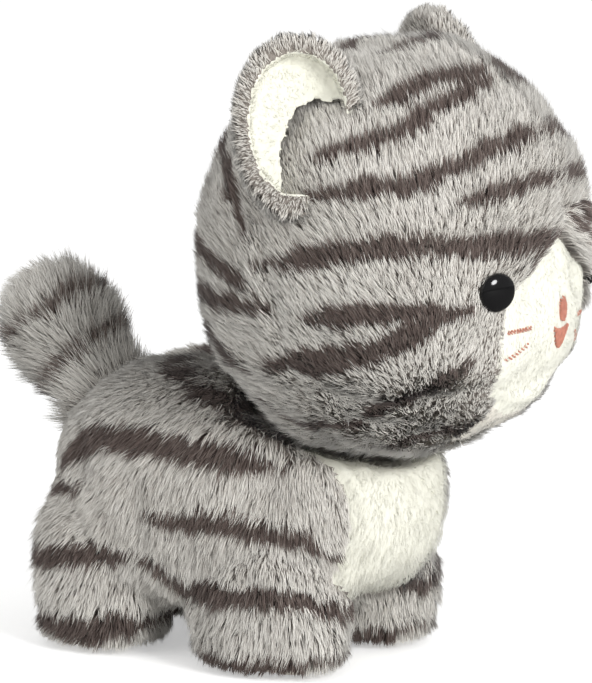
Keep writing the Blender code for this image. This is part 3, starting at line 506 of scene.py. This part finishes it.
TABBY_TIPS = [(0, paint(238, 235, 228)), (0.25, paint(218, 214, 206)), (0.5, paint(172, 162, 154)),
              (0.75, paint(110, 96, 90)), (1, paint(64, 53, 50))]
tabby_pile = pile_material("tabby_pile", TABBY_ROOTS, TABBY_TIPS)


def body_comb(place):
    """Down the flanks, a little forward at the chest and back over the rump."""
    comb = np.zeros_like(place)
    comb[:, 2] = -1
    comb[:, 1] = np.interp(place[:, 1] - FEET.y, [-0.065, -0.03, 0.01, 0.05], [-0.45, 0.15, 0.25, 0.4])
    comb[:, 0] = np.sign(place[:, 0] - FEET.x) * np.interp(place[:, 2], [0.06, 0.09], [0, 0.6])
    return comb


def seam_trim(reach):
    """Strands near a seam are caught in it, and stand shorter."""
    return 1 - 0.35 * seam_nearness(reach)


chance = np.random.default_rng(11)
furred = [i for i in range(len(BODY_PANELS)) if i != CHEST and i not in SOLES]
place, facing, pick, share = scatter(body_skin, BODY_PILE_DENSITY, chance, np.isin(body_panel, furred))
reach = np.einsum("sk,skp->sp", share, body_reach[pick])
panel = reach.argmin(axis=1)
for index in furred:
    own = panel == index
    at, out = place[own], facing[own]
    under = np.interp(at[:, 2], [0.003, 0.010], [0.55, 1])
    rump = np.interp(at[:, 1] - FEET.y, [0.026, 0.046], [0, 1])
    rump = rump * np.interp(at[:, 2], [0.046, 0.058], [0, 1])
    length = BODY_PILE_LENGTH * seam_trim(reach[own]) * under * (1 - 0.35 * rump)
    flat = np.interp(at[:, 2], [0.045, 0.062, 0.086, 0.093], [0, 1, 1, 0]) + 0.8 * rump
    # Paler strands on the legs and low on the body than higher up: painted light, as if the legs were lit
    # more.
    light = np.interp(at[:, 2], [0.022, 0.045], [0.0, 0.09])
    shown = shows_at(at, out, body_comb(at), length)
    inside = flank_stripes.inside(np.stack([shown[:, 1], shown[:, 2], 0 * length], axis=1))
    shade = tabby_shade(at, inside, chance, light)
    lay_pile(f"{BODY_PANELS[index]}_pile", at, out, body_comb(at), length, shade, chance, width=0.00028,
             lean=(20 + 28 * flat, 64 + 10 * flat), wander=0.18, swirl=0.25, clump=16, clump_hold=0.36,
             material=tabby_pile, body="torso")


# Chest. A cream panel of dense short pile, sewn in between the body sides from the neck to the front legs.
# Its pile is laid down flat, so it looks smooth.
CREAM_PILE_LENGTH, CREAM_PILE_DENSITY, CHEST_PILE_LENGTH = 0.0020, 1.0e6, 0.0036
CREAM_ROOTS = [(0, paint(236, 235, 222)), (1, paint(231, 229, 216))]
CREAM_TIPS = [(0, paint(239, 238, 226)), (1, paint(234, 233, 220))]
cream_pile = pile_material("cream_pile", CREAM_ROOTS, CREAM_TIPS)


def short_pile(name, place, facing, comb, length, chance, material, body, lean=(66, 80)):
    """Fine short strands laid flat, with their shading taken from the cloth under them."""
    shade = 0.3 + chance.normal(0, 0.15, len(place)) + rolling_noise(place, 0.010, chance) * 0.15
    lay_pile(name, place, facing, comb, length, shade, chance, width=0.00018, lean=lean, wander=0.5, clump=9,
             clump_hold=0, material=material, body=body, smooth=1.0)


chance = np.random.default_rng(21)
place, facing, pick, share = scatter(body_skin, CREAM_PILE_DENSITY, chance, body_panel == CHEST)
own = np.einsum("sk,skp->sp", share, body_reach[pick]).argmin(axis=1) == CHEST
short_pile("chest_pile", place[own], facing[own], np.tile([0, 0, -1.0], (own.sum(), 1)),
           np.full(own.sum(), CHEST_PILE_LENGTH), chance, cream_pile, "torso", lean=(54, 72))

# Tail. A stubby striped sleeve of the long pile, stuffed and closed onto the rump by a ring of thread. Its
# pile is combed to the tip and stands out round the end as a fringe.
TAIL_PILE_LENGTH = 0.0100
TAIL_BANDS = [  # half width, then (y, z) across the tail, in metres from the middle of the feet
    (0.0024, [(0.083, 0.098), (0.073, 0.105), (0.062, 0.113), (0.052, 0.121)]),
    (0.0032, [(0.074, 0.078), (0.066, 0.086), (0.055, 0.100), (0.042, 0.112)]),
    (0.0034, [(0.057, 0.070), (0.049, 0.080), (0.038, 0.090), (0.030, 0.100)]),
]
tail_skin = stuffed("tail_sleeve", ["tail_cover"], ["tail_stuffing"], {"tail_cover": LONG_PILE_DEPTH},
                    cell=0.003)
tail_skin.data.materials.append(grey_backing)
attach(tail_skin, "tail")
tail_points = mesh_points(tail_skin.data)
tail_seat = np.array(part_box("tail_seam")).mean(axis=0)
tail_way = unit((tail_points.mean(axis=0) - tail_seat)[None])[0]
tail_tip = ((tail_points - tail_seat) @ tail_way).max()
chance = np.random.default_rng(31)
place, facing, _, _ = scatter(tail_skin, BODY_PILE_DENSITY, chance)
along = (place - tail_seat) @ tail_way
comb = np.tile(tail_way, (len(place), 1)) + facing * 0.3
comb[along > 0.9 * tail_tip] += np.array([0, 0, -0.8])
length = TAIL_PILE_LENGTH * np.interp(along / tail_tip, [0, 0.4, 0.7, 1], [1.35, 1.35, 1.1, 1.05])
shown = shows_at(place, facing, comb, length)
tail_bands = Stripes(TAIL_BANDS, lambda p: Vector((p[0] + FEET.y, p[1], 0)))
inside = tail_bands.inside(np.stack([shown[:, 1], shown[:, 2], 0 * along], axis=1))
# The tail's pale strands take the lightest tone, partly its own colour and partly painted light against the
# shade it stands in.
lay_pile("tail_pile", place, facing, comb, length, tabby_shade(place, inside, chance, 0.0, 0.7), chance,
         width=0.00031, lean=(24, 52), wander=0.22, swirl=0.2, clump=16, clump_hold=0.42,
         material=tabby_pile, body="tail")

# Head. A round ball of five panels: two striped sides, a striped back, a cream face with a blaze up between
# the brows and a short chin gusset, stuffed hard. Its long pile is combed up, towards the crown.
HEAD_PANELS = ["face_panel", "head_side_left", "head_side_right", "head_back", "chin_gusset"]
FACE, CHIN = 0, 4
SEAM_PLACES = {j["name"]: j["pos_m"] for j in frame["record"]["behaviour"]["joints"]}
HEAD_CENTRE = Vector(SEAM_PLACES["head_turn"])
HEAD_TURNED = Quaternion((0, -0.390731, 0.920505), math.radians(6)) @ Quaternion((0, 1, 0), math.radians(4))
HEAD_RADIUS = 0.062
HEAD_PILE_LENGTH = 0.0068
HEAD_STRIPES = [  # half width in metres, then (side, rise) in degrees from straight ahead, right cheek side
    (0.0034, [(132, 75), (180, 80)]),
    (0.0031, [(79, 75), (40, 80), (0, 82)]),
    (0.0034, [(73, 50), (44, 60), (0, 62)]),
    (0.0031, [(92, 32), (75, 38), (59, 43), (49, 50), (19, 57), (0, 58)]),
    (0.0031, [(90, 22), (74, 24), (58, 26), (37, 34), (15, 39), (0, 40)]),
    (0.0027, [(44, 21), (14, 26), (0, 27)]),
    (0.0037, [(106, 0), (94, 3), (79, 7), (64, 9), (50, 9), (36, 9), (9, 12)]),
    (0.0038, [(105, -28), (81, -25), (61, -18), (53, -12), (41, -9)]),
    (0.0034, [(90, -13), (76, -11), (62, -10), (48, -9)]),
    (0.0025, [(75, -46), (60, -36), (49, -30), (38, -25)]),
    (0.0028, [(123, -43), (110, -50), (80, -50), (71, -45)]),
    (0.0021, [(71, -59), (45, -54), (20, -47)]),
    (0.0033, [(140, 30), (130, 28), (116, 18), (110, 8)]),
    (0.0033, [(180, 6), (137, 3), (113, -3), (104, -8)]),
    (0.0033, [(180, -16), (139, -12), (102, -11)]),
    (0.0031, [(180, -30), (135, -22), (114, -31)]),
    (0.0031, [(180, 30), (160, 33), (140, 30)]),
    (0.0031, [(180, 52), (150, 50), (120, 46)]),
    (0.0025, [(22, 2), (12, 10), (7, 14)]),
]


def head_direction(angles):
    side, rise = math.radians(angles[0]), math.radians(angles[1])
    level = math.cos(rise)
    return Vector((-math.sin(side) * level, -math.cos(side) * level, math.sin(rise))) * HEAD_RADIUS


def in_head(points):
    """Points in the head's own frame, with its left half folded onto the right and its size made even."""
    turned = np.array(HEAD_TURNED.to_matrix())
    own = (points - np.array(HEAD_CENTRE)) @ turned
    own[:, 0] = -np.abs(own[:, 0])
    return unit(own) * HEAD_RADIUS


head_depths = {panel: LONG_PILE_DEPTH for panel in HEAD_PANELS}
head_depths.update(face_panel=SHORT_PILE_DEPTH, chin_gusset=SHORT_PILE_DEPTH)
FACE_FIXTURES = ["eye_left", "eye_right", "nose_stitching", "mouth_stitching", "whisker_left_upper",
                 "whisker_left_lower", "whisker_right_upper", "whisker_right_lower"]
head_skin = stuffed("head_cover", HEAD_PANELS, ["head_stuffing"], head_depths, fixed=FACE_FIXTURES)
head_skin.data.materials.append(grey_backing)
head_skin.data.materials.append(cream_backing)
head_skin.data.materials.append(sole_backing)
head_reach = panel_reach(mesh_points(head_skin.data), HEAD_PANELS)
head_panel = head_reach.argmin(axis=1)
for face in head_skin.data.polygons:
    corners = set(head_panel[list(face.vertices)].tolist())
    face.material_index = 1 if FACE in corners else 2 if CHIN in corners else 0
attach(head_skin, "head")

# Eyes. Domed black plastic with a moulded shank that goes through the cloth into a lock washer behind it.
# The dome is polished, with faint smears in its gloss.
EYE_TURNS, EYE_EDGE = 48, 0.0006
EYE_THIN, EYE_TUCK = 0.0035, 0.0018
eye_gloss, n, wire = new_material("black_gloss")
smears = n.new("ShaderNodeTexNoise")
smears.inputs["Scale"].default_value = 220
polish = n.new("ShaderNodeMapRange")
polish.inputs["To Min"].default_value, polish.inputs["To Max"].default_value = 0.08, 0.13
depth = n.new("ShaderNodeValToRGB")
depth.color_ramp.elements[0].color, depth.color_ramp.elements[1].color = paint(9, 9, 10), paint(20, 19, 20)
wire.new(smears.outputs["Fac"], polish.inputs["Value"])
wire.new(smears.outputs["Fac"], depth.inputs["Fac"])
wire.new(polish.outputs["Result"], n["Principled BSDF"].inputs["Roughness"])
wire.new(depth.outputs["Color"], n["Principled BSDF"].inputs["Base Color"])
n["Principled BSDF"].inputs["Specular IOR Level"].default_value = 0.5
eyes = []


def turned_solid(name, centre, axis, profile, turns):
    """A solid turned about an axis from (radius, height) points, closed at both ends."""
    across = axis.orthogonal().normalized()
    over = axis.cross(across)
    points, faces = [], []
    for radius, height in profile:
        for i in range(turns):
            a = 2 * math.pi * i / turns
            points.append(centre + axis * height + (across * math.cos(a) + over * math.sin(a)) * radius)
    for ring in range(len(profile) - 1):
        for i in range(turns):
            j = (i + 1) % turns
            low, high = ring * turns, (ring + 1) * turns
            faces.append((low + i, low + j, high + j, high + i))
    faces.append(tuple(range(turns))[::-1])
    faces.append(tuple(range((len(profile) - 1) * turns, len(profile) * turns)))
    mesh = bpy.data.meshes.new(name)
    mesh.from_pydata(points, [], faces)
    for face in mesh.polygons[:-2]:
        face.use_smooth = True
    return link_object(name, mesh)


for side in ("left", "right"):
    points = mesh_points(nodes[f"eye_{side}"].data)
    washer = mesh_points(nodes[f"eye_washer_{side}"].data)
    behind = washer.mean(axis=0)
    axis = Vector(unit((points.mean(axis=0) - behind)[None])[0])
    height = (points - behind) @ np.array(axis)
    spread = np.linalg.norm((points - behind) - height[:, None] * np.array(axis), axis=1)
    radius, apex, foot = spread.max(), height.max(), height.min()
    rim = height[spread > 0.98 * radius].min()
    stem = spread[height < foot + 0.0005].max()
    dome = [(radius * math.sin(a), rim + EYE_EDGE + (apex - rim - EYE_EDGE) * math.cos(a))
            for a in np.linspace(math.pi / 2, 0.03, 20)]
    profile = [(stem, foot), (stem, rim), (radius * 0.94, rim), (radius * 0.985, rim + 0.0002)] + dome
    eye = turned_solid(f"eye_dome_{side}", Vector(behind), axis, profile, EYE_TURNS)
    eye.data.materials.append(eye_gloss)
    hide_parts(f"eye_{side}")
    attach(eye, "head")
    eyes.append((behind, np.array(axis), radius))

# Nose, mouth and whiskers. Satin stitch in salmon thread, worked through the face cloth: short slanting
# stitches laid side by side, each pulled down into the cloth at its ends.
THREAD_RADIUS, STITCH_DIVE, STITCH_PROBE = 0.0003, 0.0009, 0.01
STITCHED = {  # slant in degrees, rise over the cloth, share of the width, and pitch from stitch to stitch
    "nose_stitching": (20, 0.0006, 0.7, 0.00068), "mouth_stitching": (8, 0.0006, 1.0, 0.00068),
    "whisker_left_upper": (56, 0.0002, 1.0, 0.0007), "whisker_right_upper": (56, 0.0002, 1.0, 0.0007),
    "whisker_left_lower": (40, 0.0002, 1.0, 0.0011), "whisker_right_lower": (40, 0.0002, 1.0, 0.0011),
}
face_cloth = surface_tree(head_skin.data)
rose_thread, n, wire = new_material("rose_thread")
twist, dyed, ply = n.new("ShaderNodeTexNoise"), n.new("ShaderNodeValToRGB"), n.new("ShaderNodeBump")
twist.inputs["Scale"].default_value = 1500
dyed.color_ramp.elements[0].color = paint(140, 72, 56)
dyed.color_ramp.elements[1].color = paint(222, 150, 124)
ply.inputs["Strength"].default_value, ply.inputs["Distance"].default_value = 0.5, 0.0002
wire.new(twist.outputs["Fac"], dyed.inputs["Fac"])
wire.new(twist.outputs["Fac"], ply.inputs["Height"])
wire.new(dyed.outputs["Color"], n["Principled BSDF"].inputs["Base Color"])
wire.new(ply.outputs["Normal"], n["Principled BSDF"].inputs["Normal"])
n["Principled BSDF"].inputs["Roughness"].default_value = 0.45
n["Principled BSDF"].inputs["Sheen Weight"].default_value = 0.3


def satin_stitch(name, node, slant, lift, share, pitch):
    """Lays slanting threads side by side inside a stitched shape, each a little over the face cloth."""
    points = mesh_points(nodes[node].data)
    middle = points.mean(axis=0)
    out = Vector(unit((middle - np.array(HEAD_CENTRE))[None])[0])
    _, _, axes = np.linalg.svd(points - middle)
    long_way = Vector(axes[0])
    long_way = (long_way - out * long_way.dot(out)).normalized()
    row_way = Quaternion(out, math.radians(slant)) @ long_way
    stitch_way, over = out.cross(row_way), out * STITCH_PROBE
    tree = surface_tree(nodes[node].data)
    reach = np.linalg.norm(points - middle, axis=1).max()
    thread = bpy.data.curves.new(name, "CURVE")
    thread.dimensions, thread.bevel_depth, thread.bevel_resolution = "3D", THREAD_RADIUS, 3
    thread.use_fill_caps = True
    fine = THREAD_RADIUS / 2
    for row in np.arange(-reach, reach, pitch):
        run = []
        for t in np.arange(-reach, reach + fine, fine):
            hit = tree.ray_cast(Vector(middle) + row_way * row + stitch_way * t + over, -out)[0]
            if hit is not None:
                run.append(hit)
            if run and (hit is None or t + fine > reach):
                trim = int(len(run) * (1 - share) / 2)
                run = [face_cloth.ray_cast(place + over, -out)[0] + out * lift
                       for place in run[trim:len(run) - trim]]
                if len(run) > 2:
                    ends = [run[0] - out * STITCH_DIVE, *run[::2], run[-1] - out * STITCH_DIVE]
                    line = thread.splines.new("POLY")
                    line.points.add(len(ends) - 1)
                    for point, place in zip(line.points, ends):
                        point.co = (*place, 1)
                run = []
    stitches = link_object(name, thread)
    stitches.data.materials.append(rose_thread)
    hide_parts(node)
    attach(stitches, "head")


for node, work in STITCHED.items():
    satin_stitch(f"{node}_threads", node, *work)

# Long pile of the head, on the sides and back, and the short cream pile of the face. The long pile is
# trimmed round the eyes and caught short along the seams; the short pile is left off under the stitching.
CHEEK_TRIM, CHEEK_TRIM_DROP, BROW_HANG = 0.014, 0.25, 5
HEAD_COMB, BROW_COMB = (np.array(HEAD_TURNED @ Vector(way)) for way in ((0, 0.35, 1), (1, -0.1, -0.55)))


def eye_room(place):
    """How far each point is outside the nearest eye's rim, in metres."""
    rooms = []
    for behind, axis, radius in eyes:
        off = place - behind
        high = off @ axis
        spread = np.linalg.norm(off - high[:, None] * axis, axis=1)
        rooms.append(spread - radius + 10 * (high < -0.01))
    return np.min(rooms, axis=0)


chance = np.random.default_rng(41)
smooth_panels = np.isin(head_panel, [FACE, CHIN])
place, facing, pick, share = scatter(head_skin, BODY_PILE_DENSITY, chance, ~smooth_panels)
reach = np.einsum("sk,skp->sp", share, head_reach[pick])
panel = reach.argmin(axis=1)
room = eye_room(place)
ear_reach = panel_reach(mesh_points(head_skin.data), ["ear_left_lining", "ear_right_lining"]).min(axis=1)
by_ear = np.einsum("sk,sk->s", share, ear_reach[pick])
over_eye = place[:, 2] > np.mean([behind[2] for behind, _, _ in eyes]) + EYE_TUCK
head_stripes = Stripes(HEAD_STRIPES, head_direction)
for index in (1, 2, 3):
    own = (panel == index) & ((room > 0) | (room > -EYE_TUCK) & over_eye)
    at, out, near = place[own], facing[own], reach[own]
    own_way = in_head(at) / HEAD_RADIUS
    side, rise = np.degrees(np.arctan2(-own_way[:, 0], -own_way[:, 1])), np.degrees(np.arcsin(own_way[:, 2]))
    low = np.clip(-own_way[:, 2] / CHEEK_TRIM_DROP, 0, 1)
    deep = 12 if index == 1 else 3  # the left brow is brushed down over its eye
    brow = np.interp(side, [29, 36], [1, 0]) * np.interp(rise, [-deep - 7, -deep, 9, 18], [0, 1, 1, 0])
    cheek = np.interp(near[:, FACE], [0, CHEEK_TRIM], [0.4, 1]) + 0.6 * brow
    comb = np.where((brow > 0.3)[:, None] & (index == 1), BROW_COMB, HEAD_COMB)
    comb[(brow > 0.3) & (rise < BROW_HANG) & (index == 1)] += np.array([0, 0, -1.0])
    length = HEAD_PILE_LENGTH * seam_trim(near) * np.interp(room[own], [0, EYE_THIN], [0.55, 1])
    length = length * (1 - low + low * cheek) * (1 + 0.3 * brow)
    length = length * np.interp(by_ear[own], [0.001, 0.010], [0.42, 1])
    flat = low * np.interp(near[:, FACE], [0, CHEEK_TRIM], [1, 0.35]) - 0.4 * brow
    # The underside of the head gets paler strands than the crown: painted light against the shade under the
    # head.
    light = 0.10 - 0.10 * low
    inside = head_stripes.inside(in_head(shows_at(at, out, comb, length)))
    shade = tabby_shade(at, inside, chance, light)
    lay_pile(f"{HEAD_PANELS[index]}_pile", at, out, comb, length, shade, chance, width=0.00027,
             lean=(22 + 40 * flat, 56 + 20 * flat), wander=0.16, swirl=0.18, clump=16, clump_hold=0.34,
             material=tabby_pile, body="head")

STITCH_ROOM = 0.0012
stitch_trees = [surface_tree(nodes[node].data) for node in STITCHED]
chance = np.random.default_rng(51)
place, facing, pick, share = scatter(head_skin, CREAM_PILE_DENSITY, chance, smooth_panels)
panel = np.einsum("sk,skp->sp", share, head_reach[pick]).argmin(axis=1)
own = np.isin(panel, [FACE, CHIN]) & (eye_room(place) > 0)
place, facing, panel = place[own], facing[own], panel[own]
to_stitch = np.array([min(tree.find_nearest(Vector(p))[3] for tree in stitch_trees) for p in place])
clear = to_stitch > STITCH_ROOM
sole_pile = pile_material("sole_pile", [(0, paint(214, 209, 198)), (1, paint(186, 180, 170))],
                          [(0, paint(233, 230, 221)), (1, paint(208, 203, 193))])
for name, wanted, material, slot in (("face_pile", FACE, cream_pile, "cream_pile"),
                                     ("chin_pile", CHIN, sole_pile, "sole_pile")):
    own = clear & (panel == wanted)
    short_pile(name, place[own], facing[own], np.tile([0, 0, -1.0], (own.sum(), 1)),
               np.full(own.sum(), CREAM_PILE_LENGTH * 0.9), chance, material, "head")

# Ears. Each is a striped outer cloth and a cream lining sewn rim to rim, turned, cupped by a tuck at its
# base and sewn into the head's seam. The outer pile stands out past the rim.
EAR_PILE_LENGTH, EAR_PILE_DENSITY = 0.0043, 3.4e6
RIM_REACH, EAR_LIP, EAR_SPILL = 0.008, 0.0006, 0.005
EAR_OPENS = (0.8165, -0.4526, 0.3584)  # the way the left cup faces, in the head's own frame
for side in ("left", "right"):
    panels = [f"ear_{side}_back", f"ear_{side}_lining"]
    skin = even_skin(f"ear_{side}_cloth", panels, 0.0013, 4)
    points, out = mesh_points(skin.data), mesh_normals(skin.data)
    reach = panel_reach(points, panels)
    lined = reach[:, 1] < reach[:, 0]
    opens = np.array(HEAD_TURNED @ (Vector((1 if side == "left" else -1, 1, 1)) * Vector(EAR_OPENS)))
    depth = (points @ opens).max() - points @ opens
    lined &= depth > EAR_LIP
    skin.data.vertices.foreach_set("co", (points - out * np.where(lined, 0.0004, 0.0009)[:, None]).ravel())
    skin.data.update()
    skin.data.materials.append(grey_backing)
    skin.data.materials.append(cream_backing)
    for face in skin.data.polygons:
        face.use_smooth = True
        face.material_index = int(lined[face.vertices[0]])
    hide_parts(*panels)
    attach(skin, f"ear_{side}")
    base = np.array(SEAM_PLACES[f"ear_{side}_fold"])
    chance = np.random.default_rng(61 if side == "left" else 62)
    for name, cream, material, slot in (("pile", False, tabby_pile, "tabby_pile"),
                                        ("lining_pile", True, cream_pile, "cream_pile")):
        density = CREAM_PILE_DENSITY if cream else EAR_PILE_DENSITY
        place, facing, pick, share = scatter(skin, density, chance, lined == cream)
        near = np.einsum("sk,skp->sp", share, reach[pick])
        sunk = np.einsum("sk,sk->s", share, depth[pick])
        own = ((near[:, 1] < near[:, 0]) & (sunk > EAR_LIP)) == cream
        place, facing, rim = place[own], facing[own], np.clip(near[own][:, 1] / RIM_REACH, 0, 1)
        comb = place - base
        if cream:
            spill = np.interp(sunk[own], [EAR_LIP, EAR_SPILL], [1, 0])
            length = CREAM_PILE_LENGTH * (1 + 1.4 * spill)
            short_pile(f"ear_{side}_{name}", place, facing, comb, length, chance, material, f"ear_{side}",
                       lean=(66 - 14 * spill, 80 - 10 * spill))
            continue
        length = EAR_PILE_LENGTH * (0.65 + 0.35 * rim)
        inside = head_stripes.inside(in_head(place))
        shade = tabby_shade(place, inside, chance, light=0.08)
        lay_pile(f"ear_{side}_{name}", place, facing, comb, length, shade, chance, width=0.00028,
                 lean=(30 + 16 * rim, 50 + 18 * rim), wander=0.25, clump=8, clump_hold=0.2,
                 material=material, body=f"ear_{side}")

# Closing seams and eye washers. Grey thread rings close the neck and the tail by hand; white plastic washers
# lock the eyes behind the cloth.
grey_thread, n, wire = new_material("grey_thread")
ply, dyed, bump = n.new("ShaderNodeTexWave"), n.new("ShaderNodeValToRGB"), n.new("ShaderNodeBump")
ply.inputs["Scale"].default_value, ply.inputs["Distortion"].default_value = 400, 2
dyed.color_ramp.elements[0].color = paint(96, 90, 86)
dyed.color_ramp.elements[1].color = paint(150, 143, 136)
bump.inputs["Strength"].default_value, bump.inputs["Distance"].default_value = 0.6, 0.0004
wire.new(ply.outputs["Fac"], dyed.inputs["Fac"])
wire.new(ply.outputs["Fac"], bump.inputs["Height"])
wire.new(dyed.outputs["Color"], n["Principled BSDF"].inputs["Base Color"])
wire.new(bump.outputs["Normal"], n["Principled BSDF"].inputs["Normal"])
n["Principled BSDF"].inputs["Roughness"].default_value = 0.7
white_plastic, n, wire = new_material("white_plastic")
cloudy, tone = n.new("ShaderNodeTexNoise"), n.new("ShaderNodeValToRGB")
cloudy.inputs["Scale"].default_value = 300
tone.color_ramp.elements[0].color = paint(225, 225, 222)
tone.color_ramp.elements[1].color = paint(240, 240, 238)
wire.new(cloudy.outputs["Fac"], tone.inputs["Fac"])
wire.new(tone.outputs["Color"], n["Principled BSDF"].inputs["Base Color"])
n["Principled BSDF"].inputs["Roughness"].default_value = 0.4
for name, finish in (("neck_seam", grey_thread), ("tail_seam", grey_thread),
                     ("eye_washer_left", white_plastic), ("eye_washer_right", white_plastic)):
    for slot in nodes[name].material_slots:
        slot.material = finish
